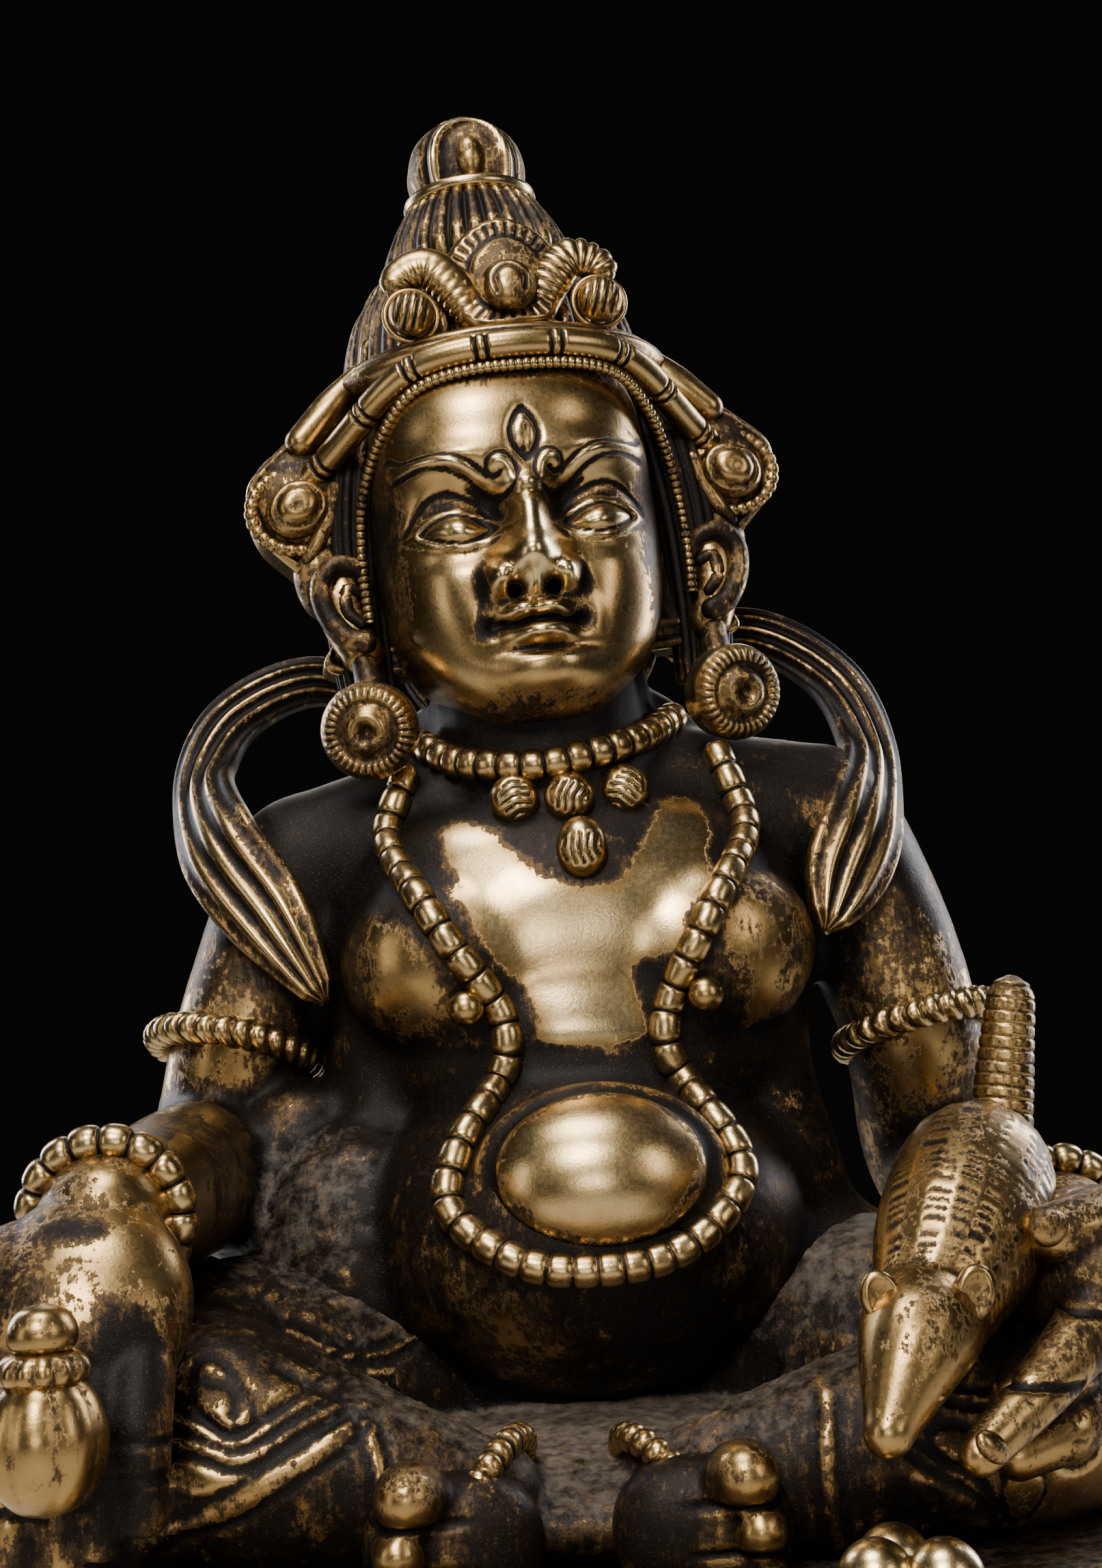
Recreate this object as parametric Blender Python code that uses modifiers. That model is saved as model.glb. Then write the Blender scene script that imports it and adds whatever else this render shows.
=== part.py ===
"""A seated bronze guardian of riches, cast in one with a low lotus base.

The carver's grid: every point of the figure is given in grid units, with the seat at
height 0, the spine at x = 0, y = 0, the front towards -y and the finial's top at 222.
FIGURE_HEIGHT sets what one grid unit measures. Lengths outside the grid are in metres.
The forms overlap, are joined, and are then fused into one skin, as in a wax model.
"""

import math

import bmesh
import bpy
from mathutils import Euler, Matrix, Vector
from mathutils.bvhtree import BVHTree

# Driving dimensions, in metres
FIGURE_HEIGHT = 0.222
BASE_WIDTH = 0.178
BASE_DEPTH = 0.136
BASE_HEIGHT = 0.022
BASE_EDGE = 0.005
BASE_WAIST_INSET = 0.0065
BASE_SHOULDER_INSET = 0.0025
PETALS = 20
PETAL_SEGMENTS = 6
PETAL_DEPTH = 0.0055

# The carver's grid
GRID_HEIGHT = 222.0
UNIT = FIGURE_HEIGHT / GRID_HEIGHT
SPINE_BEHIND_CENTRE = 28.0

# The fused skin: its grain in grid units, its smoothing passes and its triangles
SKIN_GRAIN = 0.9
SKIN_SMOOTHING = 2
SKIN_TRIANGLES = 8100

# The head turns and leans about the pit of the throat
THROAT = Vector((0.0, 0.0, 112.0))
HEAD_TURN = math.radians(6.0)
HEAD_LEAN = math.radians(-4.0)

# Cord sizes, in grid units
CHOKER_CORD = 2.0
LONG_CORD = 2.1
CORD_STEPS = 8
FRONT = 120.0

BRONZE = (0.36, 0.25, 0.10, 1.0)
BRONZE_ROUGHNESS = 0.35
BRONZE_METALLIC = 1.0

forms = []


def clear_scene():
    for obj in list(bpy.data.objects):
        bpy.data.objects.remove(obj)


def new_collection(name):
    collection = bpy.data.collections.new(name)
    bpy.context.scene.collection.children.link(collection)
    return collection


def at(x, y, h):
    """A point of the grid, in metres."""
    return Vector((x * UNIT, (y + SPINE_BEHIND_CENTRE) * UNIT, BASE_HEIGHT + h * UNIT))


def head_at(x, y, h):
    """A point of the head, given before the head turns and leans, as a grid point."""
    turned = Euler((0.0, HEAD_LEAN, HEAD_TURN)).to_matrix() @ Vector((x, y, h))
    return turned + THROAT


def keep(obj):
    forms.append(obj)
    return obj


def ellipsoid(name, centre, radii, turn=(0.0, 0.0, 0.0), square=1.0):
    """A ball scaled to three grid radii and turned by degrees about x, y and z.

    A square value under 1 swells it towards its box, as in a superellipsoid.
    """
    bpy.ops.mesh.primitive_uv_sphere_add(segments=28, ring_count=18, radius=1.0)
    ball = bpy.context.object
    ball.name = name
    for vertex in ball.data.vertices:
        vertex.co = Vector([math.copysign(abs(value) ** square, value) for value in vertex.co])
    angles = Euler([math.radians(angle) for angle in turn]).to_matrix().to_4x4()
    sized = Matrix.Diagonal((*[radius * UNIT for radius in radii], 1.0))
    ball.data.transform(Matrix.Translation(at(*centre)) @ angles @ sized)
    return keep(ball)


def limb(name, points, radii):
    """A round bar with ball ends along a smooth curve, with a grid radius at each point."""
    curve = bpy.data.curves.new(name, "CURVE")
    curve.dimensions = "3D"
    curve.bevel_depth = UNIT
    curve.bevel_resolution = 5
    curve.resolution_u = 8
    curve.use_fill_caps = True
    spline = curve.splines.new("BEZIER")
    spline.bezier_points.add(len(points) - 1)
    for knot, point, radius in zip(spline.bezier_points, points, radii):
        knot.co = at(*point)
        knot.radius = radius
        knot.handle_left_type = "AUTO"
        knot.handle_right_type = "AUTO"
    bar = bpy.data.objects.new(name, curve)
    bpy.context.scene.collection.objects.link(bar)
    for end in (0, -1):
        ellipsoid(f"{name}_end_{end}", points[end], [radii[end]] * 3)
    return keep(bar)


def plate(name, outline, front, back):
    """A slab with a drawn outline of head points (x, h), from its front y to its back y."""
    curve = bpy.data.curves.new(name, "CURVE")
    curve.dimensions = "2D"
    curve.fill_mode = "BOTH"
    curve.extrude = (back - front) / 2 * UNIT
    spline = curve.splines.new("POLY")
    spline.points.add(len(outline) - 1)
    for corner, (x, h) in zip(spline.points, outline):
        corner.co = (x * UNIT, h * UNIT, 0.0, 1.0)
    spline.use_cyclic_u = True
    slab = bpy.data.objects.new(name, curve)
    stand_up = Matrix.Rotation(math.radians(90), 4, "X")
    turn = Euler((0.0, HEAD_LEAN, HEAD_TURN)).to_matrix().to_4x4()
    middle = head_at(0, (front + back) / 2, 0)
    slab.matrix_world = Matrix.Translation(at(*middle)) @ turn @ stand_up
    bpy.context.scene.collection.objects.link(slab)
    return keep(slab)


def ribbon(name, points, widths, thickness, facing):
    """A flat band along grid points, as a chain of close flat discs turned with the line."""
    line = sampled(points, 7)
    wide = sampled([(width, 0.0, 0.0) for width in widths], 7)
    faced = sampled(facing, 7)
    for index, centre in enumerate(line):
        ahead = line[min(index + 1, len(line) - 1)] - line[max(index - 1, 0)]
        step = ahead.length / 2
        ahead.normalize()
        normal = (faced[index] - ahead * faced[index].dot(ahead)).normalized()
        turn = Matrix((ahead, ahead.cross(normal), normal)).transposed().to_euler()
        radii = (max(step, thickness) * 1.1, wide[index].x / 2, thickness / 2)
        ellipsoid(f"{name}_{index}", centre, radii, turn=[math.degrees(angle) for angle in turn], square=0.8)


def sampled(points, steps):
    """Points along a smooth Catmull-Rom curve through the given ones."""
    knots = [Vector(point) for point in points]
    knots = [2 * knots[0] - knots[1], *knots, 2 * knots[-1] - knots[-2]]
    found = []
    for before, start, end, after in zip(knots, knots[1:], knots[2:], knots[3:]):
        for step in range(steps):
            t = step / steps
            found.append(
                0.5
                * (
                    2 * start
                    + (end - before) * t
                    + (2 * before - 5 * start + 4 * end - after) * t * t
                    + (3 * start - before - 3 * end + after) * t * t * t
                )
            )
    found.append(knots[-2])
    return found


def torso():
    ellipsoid("hips", (0, 2, 20), (40, 30, 23))
    ellipsoid("belly", (1, -13, 38), (33, 30, 25))
    ellipsoid("belly_disc", (1.8, -31.5, 47), (15.5, 13.8, 9.0), turn=(-18, 0, 0))
    ellipsoid("ribs", (2.5, -3, 66), (33, 24, 26))
    ellipsoid("chest", (2.0, -2, 84), (37, 23, 22), square=0.9)
    for side, x in ((-1, -15), (1, 20)):
        ellipsoid(f"breast_{side}", (x, -14.5, 78), (18, 12.5, 15))
        ellipsoid(f"nipple_{side}", (x - 0.5 * side, -27.5, 70.5), (2.4, 2.4, 2.4))
    limb("shoulders", [(-37, 2, 94), (0, 1, 101), (41, 2, 97)], [13, 15, 13])
    ellipsoid("nape", (0, 6, 108), (27, 15, 17))
    limb("neck", [(1, -1, 98), (-1, -2, 124)], [18, 17])


def head():
    """The skull, the full square face and its features."""
    ellipsoid("skull", head_at(0, 3, 34), (25, 25, 31))
    ellipsoid("face", head_at(0, -7, 30), (21.0, 19.5, 26.5), square=0.86)
    ellipsoid("jaw", head_at(0, -9, 17), (19.5, 17.0, 15.5), square=0.9)
    ellipsoid("chin", head_at(0, -20, 7.5), (9, 6.5, 6))
    ellipsoid("muzzle", head_at(0, -22, 15), (9.5, 5.5, 7))
    ellipsoid("nose", head_at(0, -28.5, 24), (3.6, 7.2, 5.2), turn=(-22, 0, 0))
    limb("nose_bridge", [head_at(0, -26.0, 36), head_at(0, -30.5, 26)], [2.2, 3.2])
    ellipsoid("lips", head_at(0, -26, 13.8), (6.4, 3.4, 2.9))
    for side in (-1, 1):
        ellipsoid(f"nostril_{side}", head_at(4.0 * side, -27.5, 21), (3.0, 4.0, 3.0))
        ellipsoid(f"eye_{side}", head_at(10.8 * side, -22.6, 29.5), (5.6, 3.4, 3.0))
        brow = [head_at(x * side, y, h) for x, y, h in ((3.5, -25, 33), (10.5, -25, 36.5), (17.5, -20.5, 36))]
        limb(f"brow_{side}", brow, [2.2, 2.4, 1.8])
        ear(side)


def ear(side):
    """A long ear with its stretched lobe, and the earring that rests on the shoulder."""
    rim = [(25, -6, 34), (29, -7, 30), (30, -8, 22), (27, -10, 14), (26, -12, 8)]
    limb(f"ear_{side}", [head_at(x * side, y, h) for x, y, h in rim], [3.2, 4.0, 4.4, 3.6, 3.4])
    ellipsoid(f"earring_{side}", head_at(28.2 * side, -14, 2.8), (7.6, 4.4, 7.6), turn=(12, 0, 14 * side))
    boss = head_at(28.4 * side, -17.6, 3.6)
    ellipsoid(f"earring_boss_{side}", boss, (4.4, 3.2, 4.4), turn=(12, 0, 14 * side))


def crown():
    """The flaring back plate, the circlet round the brow and the leaves that stand on it."""
    side = [(22, 71), (25, 63), (30, 56), (37.5, 48.5), (41.5, 43)]
    side += [(40.5, 35.5), (34.5, 28.5), (31, 18), (30, 6)]
    outline = side + [(-x, h) for x, h in reversed(side)]
    plate("back_plate", outline, -5.0, 2.0)
    arc = [(-34, -4, 41), (-29, -11, 48.5), (-18, -20, 54), (0, -25.5, 56)]
    arc = arc + [(-x, y, h) for x, y, h in reversed(arc[:-1])]
    limb("circlet", [head_at(*point) for point in arc], [3.2] * 7)
    rim = [(x * 0.8, y - 0.2, h - 4.0) for x, y, h in arc]
    limb("hair_rim", [head_at(*point) for point in rim], [2.6] * 7)
    ellipsoid("ledge", head_at(0, -1, 58.5), (28, 23, 7.5))
    for mirror in (-1, 1):
        fall = [head_at(x * mirror, y, h) for x, y, h in ((26, -6, 48), (27.5, -5, 32), (27, -4, 8))]
        limb(f"hair_fall_{mirror}", fall, [7.5, 7.0, 6.0])
    ellipsoid("front_leaf", head_at(0, -16, 71), (8.6, 4.2, 12), turn=(-20, 0, 0))
    ellipsoid("front_boss", head_at(0, -20.0, 67), (5.2, 3.4, 5.6), turn=(-18, 0, 0))
    for mirror in (-1, 1):
        curl = [head_at(x * mirror, y, h) for x, y, h in ((4, -18, 63), (9, -15.5, 73), (15, -15, 70.5))]
        limb(f"leaf_curl_{mirror}", curl, [3.6, 4.6, 3.4])
        ellipsoid(f"small_boss_{mirror}", head_at(15.0 * mirror, -18.0, 64.5), (4.6, 3.6, 4.4))
        ellipsoid(f"eye_boss_{mirror}", head_at(33.5 * mirror, -6.5, 39.5), (5.6, 4.2, 4.6))


def chignon():
    """Hair gathered in two tiers under a jewel bud."""
    limb("hair_low", [head_at(0, 7, h) for h in (56, 63, 72, 78)], [25, 25, 22.0, 17.5])
    limb("hair_high", [head_at(0, 6, h) for h in (76, 81, 88, 92)], [14.5, 15.2, 12.6, 9.0])
    ellipsoid("bud", head_at(0, 6, 99), (9.6, 9.6, 7.8), square=0.85)
    ellipsoid("bud_tip", head_at(0, 6, 104), (6.6, 6.6, 4.6))
    ellipsoid("bud_boss", head_at(0, -2.8, 99), (3.2, 2.6, 4.6))


def jewels():
    """The choker with its four drops, the long cord round the belly disc, and arm rings."""
    body = skin_of(forms)
    choker = [(-20, 112), (-12, 107.5), (-1, 106), (11, 109), (20, 114)]
    limb("choker", laid_on(body, choker, CHOKER_CORD * 0.5), [CHOKER_CORD] * (4 * CORD_STEPS + 1))
    drops = [(-5.6, 100.7), (2.2, 100.6), (10.4, 101.3), (3.4, 92.4)]
    for number, drop in enumerate(drops):
        centre = laid_on(body, [drop, drop], 0.8)[0]
        ellipsoid(f"drop_{number}", centre, (3.9, 3.8, 4.1))
    left = [(-21.5, 107), (-24.5, 96), (-17, 81), (-9.2, 69), (-10, 60), (-16, 51), (-17.5, 43), (-9, 36.5)]
    right = [(1, 34.8), (12, 36.5), (20.5, 43), (21, 49), (15.5, 58), (13.5, 67.5)]
    right += [(21, 82), (28, 95), (25, 109)]
    cord = laid_on(body, left + right, LONG_CORD * 0.5)
    limb("long_cord", cord, [LONG_CORD] * len(cord))
    ring("armlet_right", (-50.4, -2, 67), (0.22, 0.26, 1.0), 11.6, 2.3)
    ring("armlet_left", (54.5, -2, 64.5), (-0.2, 0.2, 1.0), 11.4, 2.3)
    ring("bracelet_right", (-60.5, -55, 46.5), (0.05, 1.0, 0.2), 9.4, 2.2)
    ring("bracelet_left", (62, -46, 37), (-0.05, 1.0, 0.0), 8.6, 2.0)
    ring("anklet_right", (-15, -57, 9), (0.85, -0.3, -0.5), 8.8, 1.8)
    ring("anklet_left", (8, -55, 9), (-0.75, -0.3, -0.6), 8.2, 1.8)


def skin_of(shapes):
    """The outer skin of some forms, ready to be hit by rays."""
    corners, faces = [], []
    for shape in shapes:
        mesh = evaluated_mesh(shape)
        faces += [[len(corners) + corner for corner in face.vertices] for face in mesh.polygons]
        corners += [shape.matrix_world @ vertex.co for vertex in mesh.vertices]
    return BVHTree.FromPolygons(corners, faces)


def laid_on(skin, drawn, lift):
    """A smooth line drawn on the front (x, h), laid on the skin and lifted by grid units."""
    laid = []
    for point in sampled([(x, 0.0, h) for x, h in drawn], CORD_STEPS):
        start = at(point.x, -FRONT, point.z)
        hit, normal, _face, _distance = skin.ray_cast(start, Vector((0, 1, 0)))
        found = hit + normal * lift * UNIT
        laid.append((found.x / UNIT, found.y / UNIT - SPINE_BEHIND_CENTRE, (found.z - BASE_HEIGHT) / UNIT))
    return laid


def ring(name, centre, axis, radius, thickness):
    """A ring round a limb, turned so that its hole faces along the axis."""
    bpy.ops.mesh.primitive_torus_add(
        major_segments=32, minor_segments=10, major_radius=radius * UNIT, minor_radius=thickness * UNIT
    )
    hoop = bpy.context.object
    hoop.name = name
    hoop.data.transform(Vector((0, 0, 1)).rotation_difference(Vector(axis)).to_matrix().to_4x4())
    hoop.data.transform(Matrix.Translation(at(*centre)))
    return keep(hoop)


def arms():
    """The right hand lowered over the knee, the left forearm brought forward."""
    right = [(-38, 2, 94), (-43.5, 1, 82), (-49.5, -1, 67), (-54, 3, 51), (-57, -20, 48), (-60.5, -56, 46)]
    limb("arm_right", right, [13, 12.0, 11.0, 11.0, 11.0, 8.6])
    left = [(42, 2, 97), (48.5, 1, 83), (53.5, -1, 65), (57, 6, 44), (61, -16, 38), (62, -48, 36)]
    limb("arm_left", left, [13, 12.0, 11.0, 10.4, 9.6, 8.0])
    ellipsoid("web_right", (-40, -6, 44), (14, 12, 18))


def right_hand():
    """The open palm faces forward with the fingers down, and a fruit lies in it."""
    ellipsoid("palm_right", (-62, -65, 36), (13.5, 8.0, 15), turn=(-28, 0, 0))
    for number, x in enumerate((-69.5, -64.5, -59.5, -54.5)):
        low = 7.5 + 2.2 * number
        finger = [(x, -66, 34), (x + 0.5, -74, 24), (x + 1.2, -76, low)]
        limb(f"finger_right_{number}", finger, [4.4, 4.0, 2.8])
    limb("thumb_right", [(-70, -62, 42), (-77, -70, 35), (-75, -78, 28)], [5.0, 4.2, 3.0])
    ellipsoid("fruit", (-62.5, -84, 24.5), (6.9, 6.9, 8.6))
    ellipsoid("fruit_collar", (-62.5, -84, 32), (4.8, 4.8, 2.6))
    ellipsoid("fruit_knob", (-62.5, -84, 35.6), (3.8, 3.8, 3.4))


def left_hand():
    """The hand that grips the mongoose: thumb over its flank, fingers round and down."""
    ellipsoid("palm_left", (62, -58, 32), (9, 12, 11))
    limb("thumb_left", [(66, -56, 38), (63.5, -63, 38.5), (55.5, -66.5, 38)], [4.8, 4.4, 3.6])
    index = [(64, -58, 34), (60, -66, 28), (51.5, -73, 21.5), (41.5, -79.5, 15)]
    limb("index_left", index, [4.6, 4.4, 3.6, 2.6])
    for number, drop in enumerate((8, 15)):
        line = [(62, -56, 35 - drop), (57, -64, 30 - drop), (49, -66, 27 - drop)]
        limb(f"finger_left_{number}", line, [4.2, 3.8, 3.0])


def mongoose():
    """The jewel-spitting mongoose: rump up, head down over the knee, tail straight up."""
    body = [(52.5, -48, 44.5), (50, -53, 44), (45, -61, 37), (39.5, -69, 30)]
    limb("mongoose_body", body, [7.5, 10.2, 10.4, 7.4])
    limb("mongoose_head", [(39.5, -69, 30), (36, -75, 27), (31.0, -81.5, 18.5)], [7.2, 6.8, 3.0])
    limb("tail", [(55, -46, 46), (56.6, -45, 56), (59.0, -45, 70)], [4.4, 4.3, 3.4])
    for side in (-1, 1):
        centre = (38.0 + 5.4 * side, -75.5, 32.5)
        ellipsoid(f"mongoose_ear_{side}", centre, (2.4, 1.6, 3.2), turn=(0, 18 * side, 0))
    for number, (x, y) in enumerate(((27.8, -85), (35, -87), (31, -78.5))):
        ellipsoid(f"jewel_{number}", (x, y, 3.4), (4.4, 4.4, 4.6))


def legs():
    """The legs lie wide apart, with their soles turned forward at the middle."""
    limb("thigh_right", [(-18, -2, 18), (-46, -20, 18), (-62, -36, 19)], [20, 20, 18])
    limb("shin_right", [(-62, -38, 18), (-46, -50, 16), (-29, -55, 12.5), (-15, -57, 9)], [18, 16, 11.0, 7.8])
    limb("thigh_left", [(18, -2, 18), (46, -20, 18), (66, -37, 17)], [20, 20, 16.5])
    limb("shin_left", [(66, -38, 16), (46, -52, 14), (24, -56, 11), (9, -55, 9)], [16.5, 14.5, 10.5, 7.6])
    ellipsoid("skirt_lap", (0, -26, 6), (62, 38, 9))
    ring("hem_right", (-33, -54.5, 13), (0.93, -0.25, -0.22), 13.0, 1.8)
    ring("hem_left", (29, -55, 11.5), (-0.98, -0.1, -0.2), 12.2, 1.8)
    foot("right", -1, -17)
    foot("left", 1, 9)


def foot(name, side, x):
    """A sole facing forward, with the toes stacked at its outer end, the big toe on top."""
    ellipsoid(f"heel_{name}", (x - 3 * -side, -60, 6), (8, 7, 8))
    ellipsoid(f"sole_{name}", (x + 2 * side, -64, 6), (11, 6.5, 8.5), square=0.85)
    limb(f"big_toe_{name}", [(x + 5 * side, -62, 9), (x + 6.5 * side, -70.5, 12.8)], [4.4, 4.6])
    limb(f"next_toe_{name}", [(x + 6 * side, -62, 5), (x + 8.0 * side, -70.5, 6.4)], [3.4, 3.4])
    limb(f"low_toe_{name}", [(x + 6 * side, -62, 2), (x + 8.5 * side, -68.5, 1.8)], [2.8, 2.8])


def scarves():
    """Bands that billow up from behind the neck and come forward over the upper arms."""
    right = [(-24, 17, 124), (-38, 15, 127), (-50, 12, 121), (-54.5, 6, 110)]
    right += [(-51, -7, 98), (-43, -13, 86), (-35, -16, 73)]
    left = [(20, 17, 131), (36, 14.5, 131), (48, 11, 122), (51.5, 4, 109)]
    left += [(48, -8, 97), (43, -13, 87), (39, -16, 79)]
    widths = [7, 8.5, 9.5, 11, 14, 13, 4]
    for name, line, side in (("scarf_right", right, -1), ("scarf_left", left, 1)):
        facing = [(0, -1, 0), (0, -1, 0.1), (0.2 * side, -1, 0.1), (0.4 * side, -1, 0.0)]
        facing += [(0.5 * side, -1, 0.2), (0.4 * side, -1, 0.3), (0.3 * side, -1, 0.3)]
        ribbon(name, line, widths, 5.0, facing)


def base():
    """The oval lotus base: a foot, a ring of standing petals round its waist, and a rim."""
    lower, upper = BASE_EDGE, BASE_HEIGHT - BASE_EDGE
    rings = [(0.0, 0.0, 0.0), (lower * 0.8, 0.0, 0.0), (lower, BASE_WAIST_INSET, 0.1)]
    rings += [(lower + (upper - lower) * 0.4, BASE_WAIST_INSET, 1.0), (upper, BASE_WAIST_INSET, 0.1)]
    rings += [(upper + BASE_EDGE * 0.2, BASE_SHOULDER_INSET, 0.0), (BASE_HEIGHT, BASE_SHOULDER_INSET, 0.0)]
    count = PETALS * PETAL_SEGMENTS
    shell = bmesh.new()
    layers = []
    for height, inset, swell in rings:
        layer = []
        for index in range(count):
            angle = math.tau * index / count
            across = 2 * ((index % PETAL_SEGMENTS) / PETAL_SEGMENTS) - 1
            out = swell * PETAL_DEPTH * math.sqrt(max(0.0, 1 - across * across)) - inset
            x = math.cos(angle) * (BASE_WIDTH / 2 + out)
            y = math.sin(angle) * (BASE_DEPTH / 2 + out)
            layer.append(shell.verts.new((x, y, height)))
        layers.append(layer)
    for below, above in zip(layers, layers[1:]):
        for index in range(count):
            after = (index + 1) % count
            shell.faces.new((below[index], below[after], above[after], above[index]))
    shell.faces.new(reversed(layers[0]))
    shell.faces.new(layers[-1])
    mesh = bpy.data.meshes.new("lotus_base")
    shell.to_mesh(mesh)
    shell.free()
    return bpy.data.objects.new("lotus_base", mesh)


def bronze():
    material = bpy.data.materials.new("aged_gilt_bronze")
    material.use_nodes = True
    shader = material.node_tree.nodes["Principled BSDF"]
    shader.inputs["Base Color"].default_value = BRONZE
    shader.inputs["Roughness"].default_value = BRONZE_ROUGHNESS
    shader.inputs["Metallic"].default_value = BRONZE_METALLIC
    return material


def evaluated_mesh(obj):
    graph = bpy.context.evaluated_depsgraph_get()
    return bpy.data.meshes.new_from_object(obj.evaluated_get(graph))


def joined(name):
    """All forms as one object of overlapping closed shells."""
    shell = bmesh.new()
    for form in forms:
        mesh = evaluated_mesh(form)
        mesh.transform(form.matrix_world)
        piece = bmesh.new()
        piece.from_mesh(mesh)
        bmesh.ops.remove_doubles(piece, verts=piece.verts, dist=1e-6)
        bmesh.ops.recalc_face_normals(piece, faces=piece.faces)
        piece.to_mesh(mesh)
        piece.free()
        shell.from_mesh(mesh)
        bpy.data.objects.remove(form)
    mesh = bpy.data.meshes.new(name)
    shell.to_mesh(mesh)
    shell.free()
    return bpy.data.objects.new(name, mesh)


def largest_body(mesh):
    """Drops whatever isn't joined to the main skin, such as a pocket sealed inside it."""
    shell = bmesh.new()
    shell.from_mesh(mesh)
    left = set(shell.verts)
    bodies = []
    while left:
        front = [left.pop()]
        body = list(front)
        while front:
            for edge in front.pop().link_edges:
                for vertex in edge.verts:
                    if vertex in left:
                        left.discard(vertex)
                        front.append(vertex)
                        body.append(vertex)
        bodies.append(body)
    bodies.sort(key=len)
    for body in bodies[:-1]:
        bmesh.ops.delete(shell, geom=body, context="VERTS")
    shell.to_mesh(mesh)
    shell.free()


def fused(obj):
    """The shells fused into one skin, smoothed and thinned."""
    skin = obj.modifiers.new("skin", "REMESH")
    skin.mode = "VOXEL"
    skin.voxel_size = SKIN_GRAIN * UNIT
    smooth = obj.modifiers.new("smooth", "SMOOTH")
    smooth.factor = 0.5
    smooth.iterations = SKIN_SMOOTHING
    obj.data = evaluated_mesh(obj)
    obj.modifiers.clear()
    largest_body(obj.data)
    obj.data.calc_loop_triangles()
    thin = obj.modifiers.new("thin", "DECIMATE")
    thin.ratio = SKIN_TRIANGLES / len(obj.data.loop_triangles)
    obj.data = evaluated_mesh(obj)
    obj.modifiers.clear()
    largest_body(obj.data)


def set_on(figure, seat):
    """The figure and its base as one solid."""
    union = figure.modifiers.new("on_base", "BOOLEAN")
    union.operation = "UNION"
    union.solver = "EXACT"
    union.object = seat
    figure.data = evaluated_mesh(figure)
    figure.modifiers.clear()
    bpy.data.objects.remove(seat)


def main():
    clear_scene()
    collection = new_collection("seated_guardian")
    for make in (torso, head, crown, chignon, jewels, arms, right_hand, left_hand, mongoose, legs, scarves):
        make()
    statue = joined("statue")
    collection.objects.link(statue)
    fused(statue)
    seat = base()
    collection.objects.link(seat)
    set_on(statue, seat)
    statue.data.materials.clear()
    statue.data.materials.append(bronze())
    statue.data.shade_smooth()
    statue.data.set_sharp_from_angle(angle=math.radians(40))


main()
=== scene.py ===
# %% [markdown]
# # A gilt bronze guardian of riches
# The statue is one hollow casting, poured from a wax model that was pressed, carved and strung with
# wax beads, then fire-gilt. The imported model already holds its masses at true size. This file dresses
# them: every form is worked out again as a fine surface with its carving, and given the worn gold,
# brown patina and dust of an old casting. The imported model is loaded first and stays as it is.

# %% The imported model
import math

import bpy
import numpy as np
from mathutils import Matrix, Vector
from mathutils.bvhtree import BVHTree


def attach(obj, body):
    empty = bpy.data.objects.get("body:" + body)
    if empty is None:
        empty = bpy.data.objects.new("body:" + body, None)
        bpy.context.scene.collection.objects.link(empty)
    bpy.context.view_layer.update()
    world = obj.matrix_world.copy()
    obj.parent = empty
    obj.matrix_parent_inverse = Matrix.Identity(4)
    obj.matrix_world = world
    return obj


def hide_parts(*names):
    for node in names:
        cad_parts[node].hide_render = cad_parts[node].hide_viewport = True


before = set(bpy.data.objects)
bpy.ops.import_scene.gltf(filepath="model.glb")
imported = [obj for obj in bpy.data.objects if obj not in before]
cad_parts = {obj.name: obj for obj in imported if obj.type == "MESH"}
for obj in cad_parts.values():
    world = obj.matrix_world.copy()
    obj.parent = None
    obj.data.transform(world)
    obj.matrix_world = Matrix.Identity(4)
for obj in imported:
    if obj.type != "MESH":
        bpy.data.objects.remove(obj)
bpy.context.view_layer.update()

# %% [markdown]
# ## The carver's grid
# All points below are in millimetres: x to the viewer's right, y away from the viewer with the spine
# at 0, and h up from the seat. The head has axes of its own, turned and leaned about the pit of the
# throat, because a face is easier to draw looking straight ahead. Two small functions bring both into
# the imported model's frame, so that no finished object is moved afterwards.

# %% Axes
MM = 0.001
BASE_HEIGHT = 22.0
SPINE_BEHIND_CENTRE = 28.0
THROAT = (0.0, 0.0, 112.0)
FACE_MIDDLE = -1.7


def turned(about_x=0.0, about_y=0.0, about_z=0.0):
    """A rotation about x, then y, then z, in degrees, as a 3 by 3 matrix."""
    a, b, c = (math.radians(angle) for angle in (about_x, about_y, about_z))
    round_x = np.array([[1, 0, 0], [0, math.cos(a), -math.sin(a)], [0, math.sin(a), math.cos(a)]])
    round_y = np.array([[math.cos(b), 0, math.sin(b)], [0, 1, 0], [-math.sin(b), 0, math.cos(b)]])
    round_z = np.array([[math.cos(c), -math.sin(c), 0], [math.sin(c), math.cos(c), 0], [0, 0, 1]])
    return round_z @ round_y @ round_x


HEAD = turned(0.0, -4.0, 6.0)


def at(points):
    """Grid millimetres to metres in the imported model's frame."""
    return (np.asarray(points, float) + (0.0, SPINE_BEHIND_CENTRE, BASE_HEIGHT)) * MM


def on_head(points):
    """Head millimetres, looking straight ahead, to grid millimetres."""
    return np.asarray(points, float) @ HEAD.T + THROAT


# %% [markdown]
# ## Surfaces from arrays
# A form is a grid of points, rows by columns, worked out with numpy and then knitted into faces.
# Three makers cover nearly everything: a ball that can swell towards its box, a section swept along a
# smooth line, and a lobe that fills a drawn outline. Each returns a shell, a pair of points and faces.

# %% Knitting and joining shells


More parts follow.
